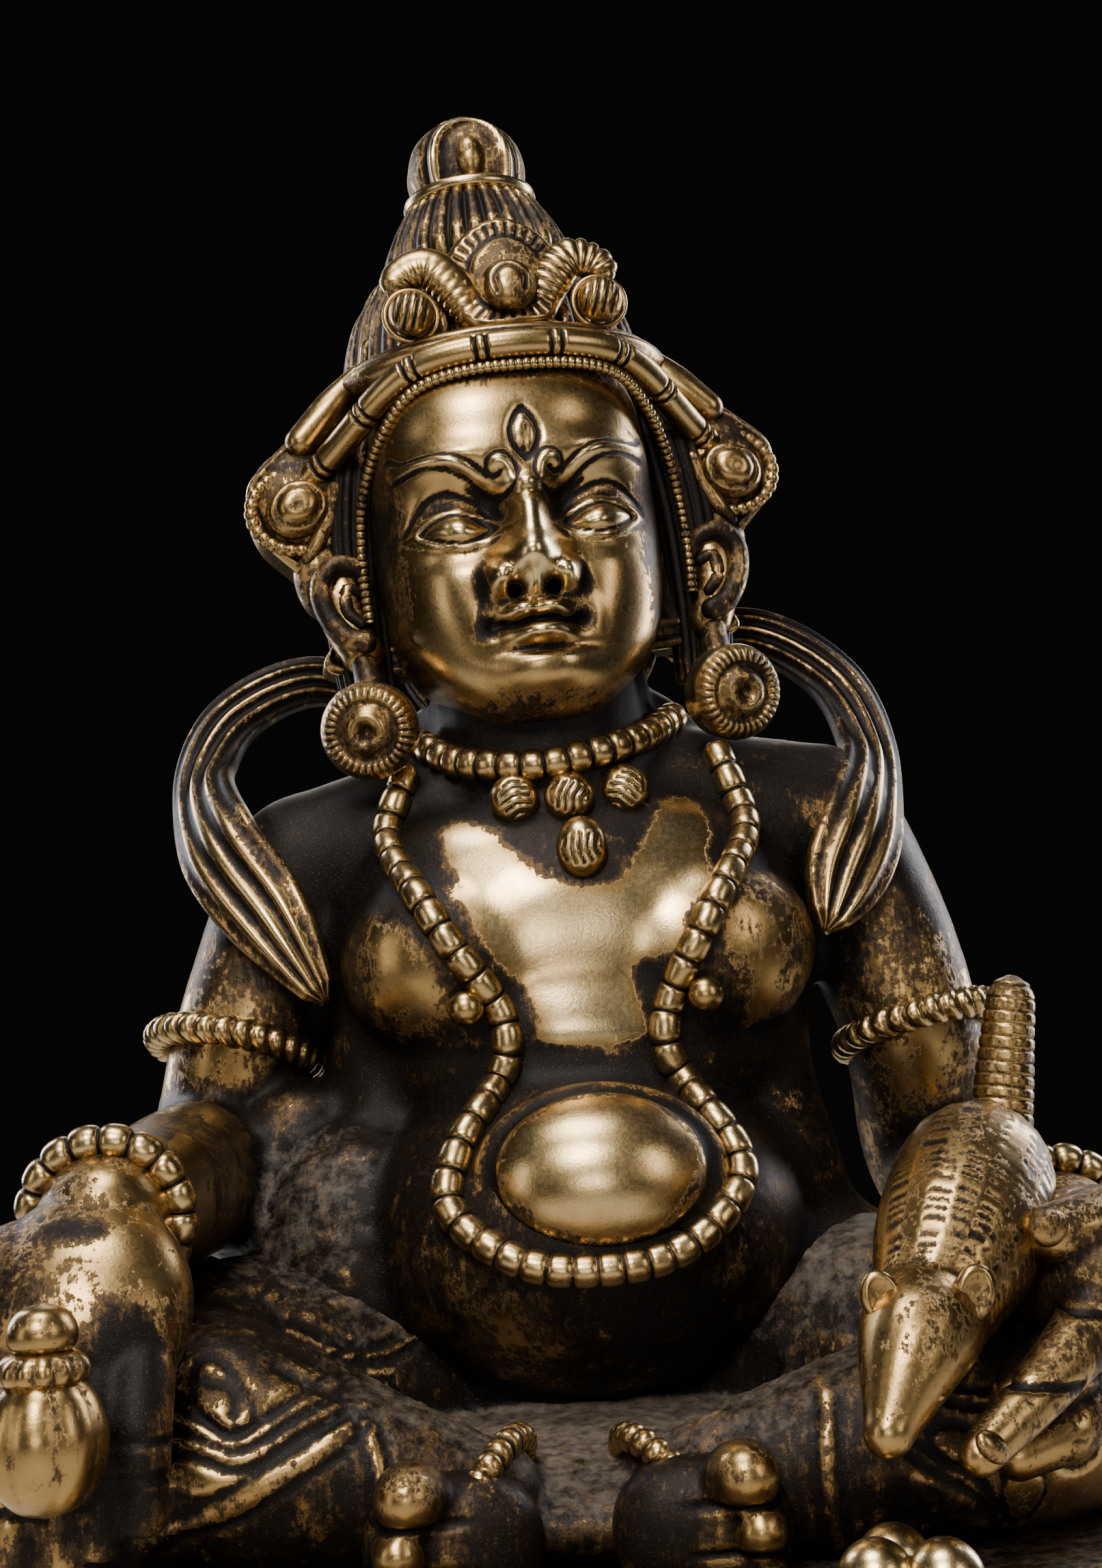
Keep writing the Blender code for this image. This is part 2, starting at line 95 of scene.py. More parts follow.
def outward(points, faces):
    """Turns the faces round where the enclosed volume, the sum of a . (b x c) / 6, is negative."""
    volume = 0.0
    for kind in faces:
        for second in range(1, kind.shape[1] - 1):
            a, b, c = points[kind[:, 0]], points[kind[:, second]], points[kind[:, second + 1]]
            volume += np.einsum("ij,ij->", a, np.cross(b, c))
    return points, faces if volume > 0 else [kind[:, ::-1] for kind in faces]


def knit(grid, loop=False):
    """Quads between neighbours of a grid whose columns run round. Open ends get a fan to their middle."""
    rows, columns = grid.shape[:2]
    number = np.arange(rows * columns).reshape(rows, columns)
    number = np.hstack([number, number[:, :1]])
    if loop:
        number = np.vstack([number, number[:1]])
    corners = [number[:-1, :-1], number[:-1, 1:], number[1:, 1:], number[1:, :-1]]
    faces = [np.stack(corners, -1).reshape(-1, 4)]
    points = grid.reshape(-1, 3)
    if not loop:
        for end, step in ((0, 1), (-1, -1)):
            middle = np.full(columns, len(points))
            points = np.vstack([points, grid[end].mean(0)])
            rim = number[end][::step]
            faces.append(np.stack([rim[1:], rim[:-1], middle], -1))
    return outward(points, faces)


def headed(shell, shift=0.0):
    """A shell drawn looking straight ahead, moved sideways and brought to its place on the head."""
    points, faces = shell
    return on_head(points + (shift, 0, 0)), faces


def together(shells):
    """Several shells as one pair of points and faces."""
    points, faces, count = [], [], 0
    for shell_points, shell_faces in shells:
        points.append(shell_points)
        faces += [kind + count for kind in shell_faces]
        count += len(shell_points)
    return np.vstack(points), faces


def smooth_line(knots, count=0, closed=False):
    """A Catmull-Rom curve through the knots, at even steps of its length. Extra columns ride along."""
    knots = np.asarray(knots, float)
    if closed:
        knots = np.vstack([knots[-1], knots, knots[0], knots[1]])
    else:
        knots = np.vstack([2 * knots[0] - knots[1], knots, 2 * knots[-1] - knots[-2]])
    spans = len(knots) - 3
    place = np.linspace(0, spans, 16 * spans + 1)
    span = np.minimum(place.astype(int), spans - 1)
    t = (place - span)[:, None]
    before, start, end, after = knots[span], knots[span + 1], knots[span + 2], knots[span + 3]
    curve = 2 * start + (end - before) * t + (2 * before - 5 * start + 4 * end - after) * t**2
    curve = (curve + (3 * start - before - 3 * end + after) * t**3) / 2
    gone = np.concatenate([[0.0], np.cumsum(np.linalg.norm(np.diff(curve[:, :3], axis=0), axis=1))])
    steps = np.linspace(0, gone[-1], count or 16 * spans + 1)
    return np.stack([np.interp(steps, gone, column) for column in curve.T], -1)


def flow(value, table):
    """A smooth value read from a table of (place, value) pairs."""
    line = smooth_line(table, 40 * len(table))
    return np.interp(value, line[:, 0], line[:, 1])


def length_of(line):
    """The sum of a line's steps."""
    return np.linalg.norm(np.diff(line[:, :3], axis=0), axis=1).sum()


def circle(count):
    """The angles of even steps once round."""
    return np.linspace(0, math.tau, count, endpoint=False)


def stripe(value, place, width, power=2):
    """exp(-(distance / width) to the power): 1 where the value is at the place, 0 well away from it."""
    return np.exp(-(np.abs((value - place) / width) ** power))


def notches(along, pitch, width):
    """A stripe in the middle of every pitch along a line, its width a share of the pitch."""
    return stripe((along / pitch) % 1.0, 0.5, width)


# %% Balls, swept sections and limbs


def ball(centre, radii, turn=None, square=1.0, cells=24):
    """x = a c(cos v) c(cos u), y = b c(cos v) c(sin u), z = c c(sin v), where c keeps the sign
    and raises the size to the power of square: under 1 swells the ball towards its box."""
    v, u = np.meshgrid(
        np.linspace(-math.pi / 2, math.pi / 2, cells + 1)[1:-1],
        circle(2 * cells),
        indexing="ij",
    )
    grid = np.stack([np.cos(v) * np.cos(u), np.cos(v) * np.sin(u), np.sin(v)], -1)
    grid = np.sign(grid) * np.abs(grid) ** square * radii
    return knit(grid @ (np.eye(3) if turn is None else turn).T + centre)


def axes_along(line, facing, loop=False):
    """Unit side and out vectors at each point of a line: out leans to facing, both square to the line."""
    ahead = np.roll(line, -1, 0) - np.roll(line, 1, 0) if loop else np.gradient(line, axis=0)
    ahead /= np.linalg.norm(ahead, axis=1)[:, None]
    side = np.cross(np.broadcast_to(facing, line.shape), ahead)
    side /= np.linalg.norm(side, axis=1)[:, None]
    return side, np.cross(ahead, side)


def sweep(line, facing, across, out, loop=False):
    """Point = line + across * side + out * up, with across and out as arrays (along, round)."""
    side, up = axes_along(line, facing, loop)
    return knit(line[:, None] + across[..., None] * side[:, None] + out[..., None] * up[:, None], loop)


def round_section(radius, cells=16):
    """A round section for each radius along a line, as its across and out arrays."""
    angle = circle(cells)
    return radius[:, None] * np.cos(angle), radius[:, None] * np.sin(angle)


def limb(knots, facing=(0.13, 0.2, 1.0), cells=20, step=0.9):
    """A bar with ball ends through knots (x, y, h, radius)."""
    knots = np.asarray(knots, float)
    line = smooth_line(knots, max(8, int(length_of(knots) / step)))
    path, radius = line[:, :3], line[:, 3]
    quarter = np.linspace(0.12, math.pi / 2, 6, endpoint=False)
    first, last = path[0] - path[1], path[-1] - path[-2]
    first, last = first / np.linalg.norm(first), last / np.linalg.norm(last)
    start = path[0] + first * (radius[0] * np.cos(quarter))[:, None]
    end = path[-1] + last * (radius[-1] * np.cos(quarter[::-1]))[:, None]
    path = np.vstack([start, path, end])
    radius = np.concatenate([radius[0] * np.sin(quarter), radius, radius[-1] * np.sin(quarter[::-1])])
    return sweep(path, facing, *round_section(radius, cells))


# %% [markdown]
# ## Carving tools
# The caster's masses are fused first, so that arms grow out of shoulders without a seam: overlapping
# shells become one skin with a voxel remesh. The carving is then pressed in with arrays: a bump is a
# soft mound, a groove follows a drawn line, and the distance to that line gives its depth.

# %% Fusing and pressing


def edges_of(faces):
    """Every pair of neighbours, once for each face that has it."""
    pairs = [np.stack([kind.ravel(), np.roll(kind, -1, 1).ravel()], -1) for kind in faces]
    return np.vstack(pairs)


def relaxed(values, edges, times):
    """Each value moved onto the mean of its neighbours, a number of times."""
    count = len(values)
    both = np.vstack([edges, edges[:, ::-1]])
    share = np.maximum(np.bincount(both[:, 0], minlength=count), 1)
    for _pass in range(times):
        sums = [np.bincount(both[:, 0], column[both[:, 1]], count) for column in values.T]
        values = 0.5 * values + 0.5 * np.stack(sums, -1) / share[:, None]
    return values


def normals_of(points, faces):
    """Unit normals at the points, from the cross product of each face's diagonals or sides."""
    total = np.zeros_like(points)
    for kind in faces:
        last = kind[:, 3] if kind.shape[1] == 4 else kind[:, 0]
        second = kind[:, 2]
        cross = np.cross(points[second] - points[kind[:, 0]], points[last] - points[kind[:, 1]])
        for corner in kind.T:
            for axis in range(3):
                total[:, axis] += np.bincount(corner, cross[:, axis], len(points))
    return total / np.maximum(np.linalg.norm(total, axis=1), 1e-9)[:, None]


def fused(shells, grain, passes=4):
    """Overlapping shells as one skin of cells of grain millimetres, smoothed a little."""
    mesh = mesh_of("wax", *together(shells))
    wax = bpy.data.objects.new("wax", mesh)
    bpy.context.scene.collection.objects.link(wax)
    skin = wax.modifiers.new("skin", "REMESH")
    skin.mode = "VOXEL"
    skin.voxel_size = grain * MM
    poured = bpy.data.meshes.new_from_object(wax.evaluated_get(bpy.context.evaluated_depsgraph_get()))
    points = np.empty(len(poured.vertices) * 3)
    poured.vertices.foreach_get("co", points)
    corners = np.empty(len(poured.loops), np.int32)
    poured.loops.foreach_get("vertex_index", corners)
    for data in (poured, mesh):
        bpy.data.meshes.remove(data)
    points = points.reshape(-1, 3) / MM - (0.0, SPINE_BEHIND_CENTRE, BASE_HEIGHT)
    faces = [corners.reshape(-1, 4).astype(np.int64)]
    return relaxed(points, edges_of(faces), passes), faces


def mesh_of(name, points, faces):
    """Points and faces as a smooth-shaded mesh in metres."""
    mesh = bpy.data.meshes.new(name)
    corners = np.concatenate([kind.ravel() for kind in faces])
    sizes = np.concatenate([np.full(len(kind), kind.shape[1]) for kind in faces])
    mesh.vertices.add(len(points))
    mesh.vertices.foreach_set("co", at(points).ravel())
    mesh.loops.add(len(corners))
    mesh.loops.foreach_set("vertex_index", corners.astype(np.int32))
    mesh.polygons.add(len(sizes))
    mesh.polygons.foreach_set("loop_start", (np.cumsum(sizes) - sizes).astype(np.int32))
    mesh.update(calc_edges=True)
    mesh.validate()
    mesh.shade_smooth()
    return mesh


def bump(x, h, centre, radii, power=1.0):
    """A soft mound, exp(-(distance in radii) to twice the power)."""
    distance = ((x - centre[0]) / radii[0]) ** 2 + ((h - centre[1]) / radii[1]) ** 2
    return np.exp(-(distance**power))


def nearest(points, line):
    """The distance from each point to a line of straight steps, and how far along it the foot lies."""
    points, line = np.asarray(points, float), np.asarray(line, float)
    best = np.full(len(points), 1e9)
    place = np.zeros(len(points))
    gone = 0.0
    for start, end in zip(line[:-1], line[1:]):
        step = end - start
        size = max(math.sqrt(step @ step), 1e-9)
        share = np.clip((points - start) @ step / size**2, 0, 1)
        distance = np.linalg.norm(points - start - share[:, None] * step, axis=1)
        closer = distance < best
        best[closer] = distance[closer]
        place[closer] = gone + share[closer] * size
        gone += size
    return best, place


def grooves(x, h, lines, width=0.45, closed=False):
    """The summed depth, 0 to 1, of grooves along lines drawn on the front (x, h)."""
    depth = np.zeros(len(x))
    spots = np.stack([x, h], -1)
    for drawn in lines:
        line = smooth_line(drawn, max(8, int(length_of(np.asarray(drawn, float)) / 0.8)), closed)
        low, high = line.min(0) - 3 * width, line.max(0) + 3 * width
        close = np.all((spots > low) & (spots < high), axis=1)
        distance, _place = nearest(spots[close], line)
        depth[close] = np.maximum(depth[close], np.exp(-((distance / width) ** 2)))
    return depth


def skin_tree(points, faces):
    """A skin as a search tree of triangles, for dropping lines on it."""
    triangles = [kind[:, :3] for kind in faces]
    triangles += [kind[:, [0, 2, 3]] for kind in faces if kind.shape[1] == 4]
    return BVHTree.FromPolygons(points.tolist(), np.vstack(triangles).tolist())


def laid(tree, drawn, lift, step=0.5):
    """A line drawn on the front (x, h), dropped on a skin along y and lifted. Gives line and normals."""
    flat = smooth_line(drawn, int(length_of(np.asarray(drawn, float)) / step))
    found, out = [], []
    for x, h in flat:
        hit, normal, _face, _distance = tree.ray_cast(Vector((x, -150.0, h)), Vector((0.0, 1.0, 0.0)))
        if hit is not None:
            found.append(hit + normal * lift)
            out.append(normal)
    found, out = np.array(found), np.array(out)
    chain = np.stack([np.arange(len(found) - 1), np.arange(1, len(found))], -1)
    ends = found[[0, -1]]
    found = relaxed(found, chain, 6)
    found[[0, -1]] = ends
    return found, relaxed(out, chain, 12)


# %% [markdown]
# ## Wear
# Hands, cloths and packing rub a gilt casting on its high places, while dirt and old lacquer stay in
# the hollows. Each point gets a polish value: it compares the surface with a smoothed copy of itself,
# once closely for the carving and once broadly for the forms. Rubbed patches are named places.

# %% Polish for each point


def polish_of(points, faces, start=0.5, fine=0.12, broad=0.8):
    """start + how far the point stands above a copy smoothed 4 and 24 times, each through a tanh."""
    edges = edges_of(faces)
    normal = normals_of(points, faces)
    near = relaxed(points, edges, 4)
    far = relaxed(near, edges, 20)
    close = np.einsum("ij,ij->i", points - near, normal)
    wide = np.einsum("ij,ij->i", points - far, normal)
    return start + 0.34 * np.tanh(close / fine) + 0.22 * np.tanh(wide / broad)


def patch(points, outline, soft=2.0):
    """A half on an outline drawn on the front (x, h), 1 and 0 from soft millimetres inside and outside."""
    line = smooth_line(outline, 6 * len(outline), closed=True)
    x, h = points[:, 0], points[:, 2]
    inside = np.zeros(len(points), bool)
    for (x0, h0), (x1, h1) in zip(line[:-1], line[1:]):
        crosses = (h0 > h) != (h1 > h)
        inside ^= crosses & (x < (x1 - x0) * (h - h0) / (h1 - h0 + 1e-12) + x0)
    distance, _place = nearest(np.stack([x, h], -1), line)
    return np.clip(0.5 + np.where(inside, distance, -distance) / (2 * soft), 0, 1)


def shade_near_lines(points, lines, reach):
    """1 on any of the lines, fading over reach millimetres: the painted shade beside something laid on top.
    """
    shade = np.zeros(len(points))
    for line in lines:
        low, high = line.min(0) - 2.5 * reach, line.max(0) + 2.5 * reach
        close = np.all((points > low) & (points < high), axis=1)
        distance, _place = nearest(points[close], line[::3])
        shade[close] = np.maximum(shade[close], np.exp(-((distance / reach) ** 2)))
    return shade


def extended(values, points):
    """Values for the first points, then 0 for the points that were added after them."""
    return np.pad(values, (0, len(points) - len(values)))


# %% [markdown]
# ## Fire-gilt bronze, worn and dusty
# The gilding is gold laid in mercury on a brass-rich casting and burnished. Where it is rubbed it
# gives a warm, fairly sharp gloss with fine scratches; in the hollows the bronze has gone to a brown
# black oxide that is duller; and dust lies on the seat and lap as a dry grey film. One recipe serves
# all pieces, because it is one casting. The polish value says how rubbed a place is, and on the torso
# and the face it also carries painted shade; noise at the size of real stains and casting grain breaks
# up the edges between the three.

# %% Colour and node helpers


def linear(code):
    """An sRGB hex colour as linear red, green, blue and 1."""
    parts = [int(code[place : place + 2], 16) / 255 for place in (1, 3, 5)]
    return (*[part / 12.92 if part < 0.04045 else ((part + 0.055) / 1.055) ** 2.4 for part in parts], 1.0)


def node(tree, kind, settings=None, stops=(), out=0, **links):
    """Adds one node and gives its output out. settings are the node's own properties, stops the places
    and hex colours or greys of a colour ramp, and links its sockets' values or what feeds them."""
    added = tree.nodes.new(kind)
    for name, value in (settings or {}).items():
        setattr(added, name, value)
    for name, value in links.items():
        socket = added.inputs[int(name[1:])] if name[1:].isdigit() else added.inputs[name.replace("_", " ")]
        if isinstance(value, bpy.types.NodeSocket):
            tree.links.new(value, socket)
        else:
            socket.default_value = value
    if stops:
        places = added.color_ramp.elements
        while len(places) < len(stops):
            places.new(0.5)
        for place, (position, colour) in zip(places, stops):
            place.position = position
            place.color = linear(colour) if isinstance(colour, str) else (colour, colour, colour, 1.0)
    return added.outputs[out]


# %% The bronze
# Noise patterns: size in mm, detail, roughness and stretch along h. Real dust specks are nearer 0.1 mm
# and cast grain nearer 0.2 mm: both are drawn coarser, so that they show in the render.
PATTERNS = {
    "stains": (7.0, 6.0, 0.6, 1.0),
    "blotches": (1.5, 8.0, 0.75, 1.0),
    "strokes": (0.6, 4.0, 0.6, 0.2),
    "smears": (4.0, 9.0, 0.78, 0.6),
    "rubbing": (0.7, 4.0, 0.7, 1.0),
    "film": (2.2, 8.0, 0.72, 1.0),
    "specks": (0.16, 1.0, 0.6, 1.0),
    "grain": (0.4, 4.0, 0.65, 1.0),
}
PATINA = [(0.1, "#0d0b0a"), (0.34, "#1d1815"), (0.5, "#4e3e2a")]
GOLD = [(0.4, "#7d6440"), (0.66, "#a48859"), (0.98, "#cdb788")]
DUST = "#7c7064"
ROUGHNESS = [(0.1, 0.5), (0.46, 0.42), (0.54, 0.3), (0.95, 0.25)]
METAL = [(0.1, 0.5), (0.46, 0.85), (0.54, 1.0)]
GRAIN_DEPTH_MM = 0.07
SPECULAR_LEVEL = 0.18

PLUS, MINUS, TIMES, GREATER, TIMES_PLUS = (
    {"operation": name} for name in ("ADD", "SUBTRACT", "MULTIPLY", "MAXIMUM", "MULTIPLY_ADD"))
CLAMPED = {"use_clamp": True}
COLOURS = {"data_type": "RGBA"}


def gilt_bronze(name, tint=0.0, dusty=0.0, grain=0.12):
    """Worn fire gilding over brown bronze. tint moves the balance to gold, dusty adds the dry film."""
    material = bpy.data.materials.new(name)
    material.use_nodes = True
    tree = material.node_tree
    place = node(tree, "ShaderNodeTexCoord", out="Object")
    noise = {}
    for pattern, (size, detail, rough, stretch) in PATTERNS.items():
        spot = place
        if stretch != 1.0:
            spot = node(tree, "ShaderNodeMapping", Vector=place, Scale=(1.0, 1.0, stretch))
        noise[pattern] = node(tree, "ShaderNodeTexNoise", Vector=spot, Scale=1 / (size * MM),
                              Detail=detail, Roughness=rough)
    polish, dust = (node(tree, "ShaderNodeAttribute", {"attribute_name": label}, out="Fac")
                    for label in ("polish", "dust"))

    # How rubbed each place is, with the painted shade some pieces carry in it: bare metal is where it passes
    # a half.
    stains = node(tree, "ShaderNodeMath", TIMES_PLUS, _0=noise["stains"], _1=0.55, _2=tint - 0.275)
    blotches = node(tree, "ShaderNodeMath", TIMES_PLUS, _0=noise["blotches"], _1=0.6, _2=-0.3)
    strokes = node(tree, "ShaderNodeMath", TIMES_PLUS, _0=noise["strokes"], _1=0.3, _2=-0.15)
    smears = node(tree, "ShaderNodeValToRGB", stops=[(0.54, 0.0), (0.7, 0.34)], Fac=noise["smears"])
    broad = node(tree, "ShaderNodeMath", PLUS, _0=polish, _1=stains)
    small = node(tree, "ShaderNodeMath", PLUS, _0=blotches, _1=strokes)
    worn = node(tree, "ShaderNodeMath", PLUS | CLAMPED, _0=broad, _1=small)
    worn = node(tree, "ShaderNodeMath", PLUS | CLAMPED, _0=worn, _1=smears)
    bare = node(tree, "ShaderNodeValToRGB", stops=[(0.47, 0.0), (0.53, 1.0)], Fac=worn)

    # Colour: patina by wear, gold by a calmer sum, and the dust film over both.
    faint = node(tree, "ShaderNodeMath", TIMES, _0=blotches, _1=0.25)
    calm = node(tree, "ShaderNodeMath", TIMES_PLUS, _0=stains, _1=0.8, _2=faint)
    calm = node(tree, "ShaderNodeMath", PLUS | CLAMPED, _0=polish, _1=calm)
    patina = node(tree, "ShaderNodeValToRGB", stops=PATINA, Fac=worn)
    gold = node(tree, "ShaderNodeValToRGB", stops=GOLD, Fac=calm)
    colour = node(tree, "ShaderNodeMix", COLOURS, out="Result", Factor=bare, A=patina, B=gold)
    film = node(tree, "ShaderNodeMath", TIMES_PLUS, _0=noise["film"], _1=1.5, _2=dusty - 1.3)
    film = node(tree, "ShaderNodeMath", PLUS | CLAMPED, _0=film, _1=dust)
    specks = node(tree, "ShaderNodeValToRGB", stops=[(0.665, 0.0), (0.72, 0.32)], Fac=noise["specks"])
    dull = node(tree, "ShaderNodeMath", MINUS, _0=1.15, _1=worn)
    specks = node(tree, "ShaderNodeMath", TIMES, _0=specks, _1=dull)
    film = node(tree, "ShaderNodeMath", GREATER | CLAMPED, _0=film, _1=specks)
    colour = node(tree, "ShaderNodeMix", COLOURS, out="Result", Factor=film, A=colour, B=linear(DUST))

    # Gloss, metal and cast grain.
    rough = node(tree, "ShaderNodeValToRGB", stops=ROUGHNESS, Fac=worn)
    rubbing = node(tree, "ShaderNodeMath", TIMES_PLUS, _0=noise["rubbing"], _1=0.16, _2=-0.08)
    rough = node(tree, "ShaderNodeMath", PLUS | CLAMPED, _0=rough, _1=rubbing)
    rough = node(tree, "ShaderNodeMath", TIMES_PLUS | CLAMPED, _0=film, _1=0.5, _2=rough)
    metal = node(tree, "ShaderNodeValToRGB", stops=METAL, Fac=worn)
    hidden = node(tree, "ShaderNodeMath", TIMES, _0=film, _1=0.75)
    metal = node(tree, "ShaderNodeMath", MINUS | CLAMPED, _0=metal, _1=hidden)
    pits = node(tree, "ShaderNodeMath", TIMES_PLUS, _0=bare, _1=-1.3, _2=2.0)
    height = node(tree, "ShaderNodeMath", TIMES, _0=noise["grain"], _1=pits)
    step = node(tree, "ShaderNodeMath", TIMES, _0=bare, _1=-0.5)
    height = node(tree, "ShaderNodeMath", PLUS, _0=height, _1=step)
    bent = node(tree, "ShaderNodeBump", Strength=grain * 4, Distance=GRAIN_DEPTH_MM * MM, Height=height)

    sockets = tree.nodes["Principled BSDF"].inputs
    links = {"Base Color": colour, "Roughness": rough, "Metallic": metal, "Normal": bent}
    for socket, value in links.items():
        tree.links.new(value, sockets[socket])
    sockets["Specular IOR Level"].default_value = SPECULAR_LEVEL
    return material


BRONZE = gilt_bronze("fire_gilt_bronze_worn")
LAP_BRONZE = gilt_bronze("fire_gilt_bronze_dusty", dusty=0.1, grain=0.16)
BASE_BRONZE = gilt_bronze("cast_bronze_chased", tint=-0.02)

# %% Finishing a piece


def piece(name, shell, polish, dust=0.0, material=BRONZE):
    """Puts a shell into the scene as part of the statue, with its polish, painted shade and dust on its
    points.
    """
    points, faces = shell
    mesh = mesh_of(name, points, faces)
    for label, values in (("polish", polish), ("dust", dust)):
        values = np.clip(np.broadcast_to(values, len(points)), 0, 1)
        layer = mesh.attributes.new(label, "FLOAT", "POINT")
        layer.data.foreach_set("value", values.astype(np.float32))
    mesh.materials.append(material)
    made = bpy.data.objects.new(name, mesh)
    bpy.context.scene.collection.objects.link(made)
    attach(made, "root")
    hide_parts("statue")
    triangles = sum(len(kind) * (kind.shape[1] - 2) for kind in faces)
    print(f"{name}: {triangles} triangles")
    return made


# %% [markdown]
# ## The torso and arms
# Chest, belly and arms are one skin in the wax. The string of beads, the collar and the arm rings were
# laid on it afterwards, so the lines of the string and the collar are worked out here, on the bare
# skin, and kept: painted shade darkens the skin beside them. The rubbed gold on the chest is a ragged
# patch between the strings.

# %% Torso skin
CHOKER = [(-20, 112), (-12, 107.5), (-1, 106), (11, 109), (20, 114)]
STRING_LEFT = [(-21.5, 107), (-24.5, 96), (-17, 81), (-9.2, 69), (-10, 60), (-16, 51), (-17.5, 43),
               (-9, 36.5)]
STRING_RIGHT = [(1, 34.8), (12, 36.5), (20.5, 43), (21, 49), (15.5, 58), (13.5, 67.5), (21, 82), (28, 95),
                (25, 109)]
ARM_LEFT = [(-38, 2, 94, 13), (-43.5, 1, 82, 12), (-49.5, -1, 67, 11), (-54, 3, 51, 11), (-57, -20, 48, 11),
            (-60.5, -56, 46, 8.6)]
ARM_RIGHT = [(42, 2, 97, 13), (48.5, 1, 83, 12), (53.5, -1, 65, 11), (57, 6, 44, 10.4), (61, -16, 38, 9.6),
             (62, -48, 36, 8)]
TORSO_CELL_MM = 1.3

masses = [
    ball((0, 2, 20), (40, 30, 23)),
    ball((1, -13, 38), (33, 30, 25)),
    ball((2.5, -3, 66), (33, 24, 26)),
    ball((2, -2, 84), (37, 23, 22), square=0.9),
    ball((-15, -14.5, 78), (18, 12.5, 15)),
    ball((20, -14.5, 78), (18, 12.5, 15)),
    limb([(-37, 2, 94, 13), (0, 1, 101, 15), (41, 2, 97, 13)]),
    ball((0, 6, 108), (27, 15, 17)),
    limb([(1, -1, 98, 18), (-1, -2, 124, 17)], facing=(0, 1, 0)),
    ball((1, 2, 67), (32, 19.5, 36), square=0.9),
    ball((2.6, -13.6, 81), (27, 12.4, 19), square=0.9),
    limb([(-26, -4, 80, 11), (-26, -5, 60, 10), (-28, -8, 42, 12)]),
    limb([(28, -4, 80, 11), (27.5, -5, 60, 10), (29, -8, 42, 12)]),
    ball((-40, -6, 44), (14, 12, 18)),
    ball((-32, -13, 32), (17, 15, 24)),
    limb([(27, -2, 44, 12), (30, -6, 32, 16), (34, -10, 24, 18)]),
]
bare_torso = fused(masses + [limb(ARM_LEFT), limb(ARM_RIGHT)], TORSO_CELL_MM, passes=4)
torso_skin = skin_tree(*bare_torso)
choker_line, choker_out = laid(torso_skin, CHOKER, 1.0)
string_line, string_out = laid(torso_skin, STRING_LEFT + STRING_RIGHT, 0.9)
print(f"long string: {length_of(string_line):.0f} mm")

# %% Carving and wear of the torso
CHEST_GOLD = [(-16, 96), (-12.5, 97.5), (-8, 94), (-2.5, 88.5), (3, 87), (8.5, 87), (13.5, 94.5),
              (18.5, 100.5), (22, 97), (21.5, 88), (18, 84), (15.5, 78), (10, 74.5), (9, 64.5),
              (1.5, 64), (-3, 65), (-4, 69.5), (-9, 77), (-14.5, 88)]
BELLY_GOLD = [(-17, 33), (-10.5, 30.5), (-1.5, 27), (-1.5, 22), (-11, 20.5), (-16, 27)]
BREAST_LEFT_GOLD = [(-28, 84.5), (-24.5, 82), (-18, 76), (-17.5, 70.5), (-14, 66), (-19, 64), (-23, 68.5),
                    (-27, 76.5)]
BREAST_RIGHT_GOLD = [(22.5, 86.5), (32.5, 83.5), (33, 74), (30, 66.5), (24.5, 64.5), (27, 73.5), (22, 76.5)]

points, faces = bare_torso
x, y, h = points.T
front = np.clip((-4 - y) / 8, 0, 1)
normal = normals_of(points, faces)
crease = 0.4 * bump(x, h, (2, 64.0), (24, 1.2))
carved = points - normal * (crease * front)[:, None]
torso_polish_and_shade = polish_of(carved, faces, 0.23, 0.2, 3.0)
torso_polish_and_shade += 0.6 * patch(carved, CHEST_GOLD, 1.7) * front
torso_polish_and_shade += 0.22 * patch(carved, BELLY_GOLD, 4) * front
torso_polish_and_shade += 0.3 * patch(carved, BREAST_LEFT_GOLD, 3) * front
torso_polish_and_shade += 0.26 * patch(carved, BREAST_RIGHT_GOLD, 3) * front
torso_polish_and_shade += 0.14 * np.clip((np.abs(x) - 40) / 8, 0, 1) * np.clip((92 - h) / 12, 0, 1)
torso_polish_and_shade += 0.22 * bump(x, h, (-56, 52), (10, 11), 2) - 0.06 * bump(x, h, (50, 84), (10, 12), 2)
torso_polish_and_shade += 0.12 * bump(x, h, (-20, 30), (13, 9)) + 0.1 * bump(x, h, (24, 32), (9, 10))
# Painted shade: the left shoulder under the earring, the throat under the chin, and the faces that look up,
# high on the body.
torso_polish_and_shade -= 0.22 * bump(x, h, (-36, 96), (13, 16), 2)
torso_polish_and_shade -= 0.2 * bump(x, h, (0, 114), (18, 8), 2)
torso_polish_and_shade -= 0.1 * np.clip(normal[:, 2], 0, 1) * np.clip((h - 88) / 8, 0, 1)
# Painted shade on the skin along the string and the choker, where they lie on it.
torso_polish_and_shade -= 0.25 * shade_near_lines(carved, [string_line, choker_line], 2.4)
torso_polish_and_shade -= 0.12 * bump(x, h, (2, 28), (30, 8))
sand = np.random.default_rng(7).normal(size=(len(points), 1))
edges = edges_of(faces)
grit, lumps = relaxed(sand, edges, 2)[:, 0], relaxed(sand, edges, 40)[:, 0]
in_web = np.exp(-((np.linalg.norm((carved - (-37, -17, 41)) / (14, 16, 18), axis=1)) ** 4))
carved += normal * (0.3 * in_web * grit / grit.std() + 0.1 * lumps / lumps.std())[:, None]
dust = 0.75 * in_web + 0.5 * np.clip(normal[:, 2] - 0.3, 0, 1) * np.clip((44 - h) / 20, 0, 1) * front
dust += 0.3 * np.clip((20 - h) / 14, 0, 1) * front
piece("torso", (carved, faces), torso_polish_and_shade - 0.1 * in_web, dust)

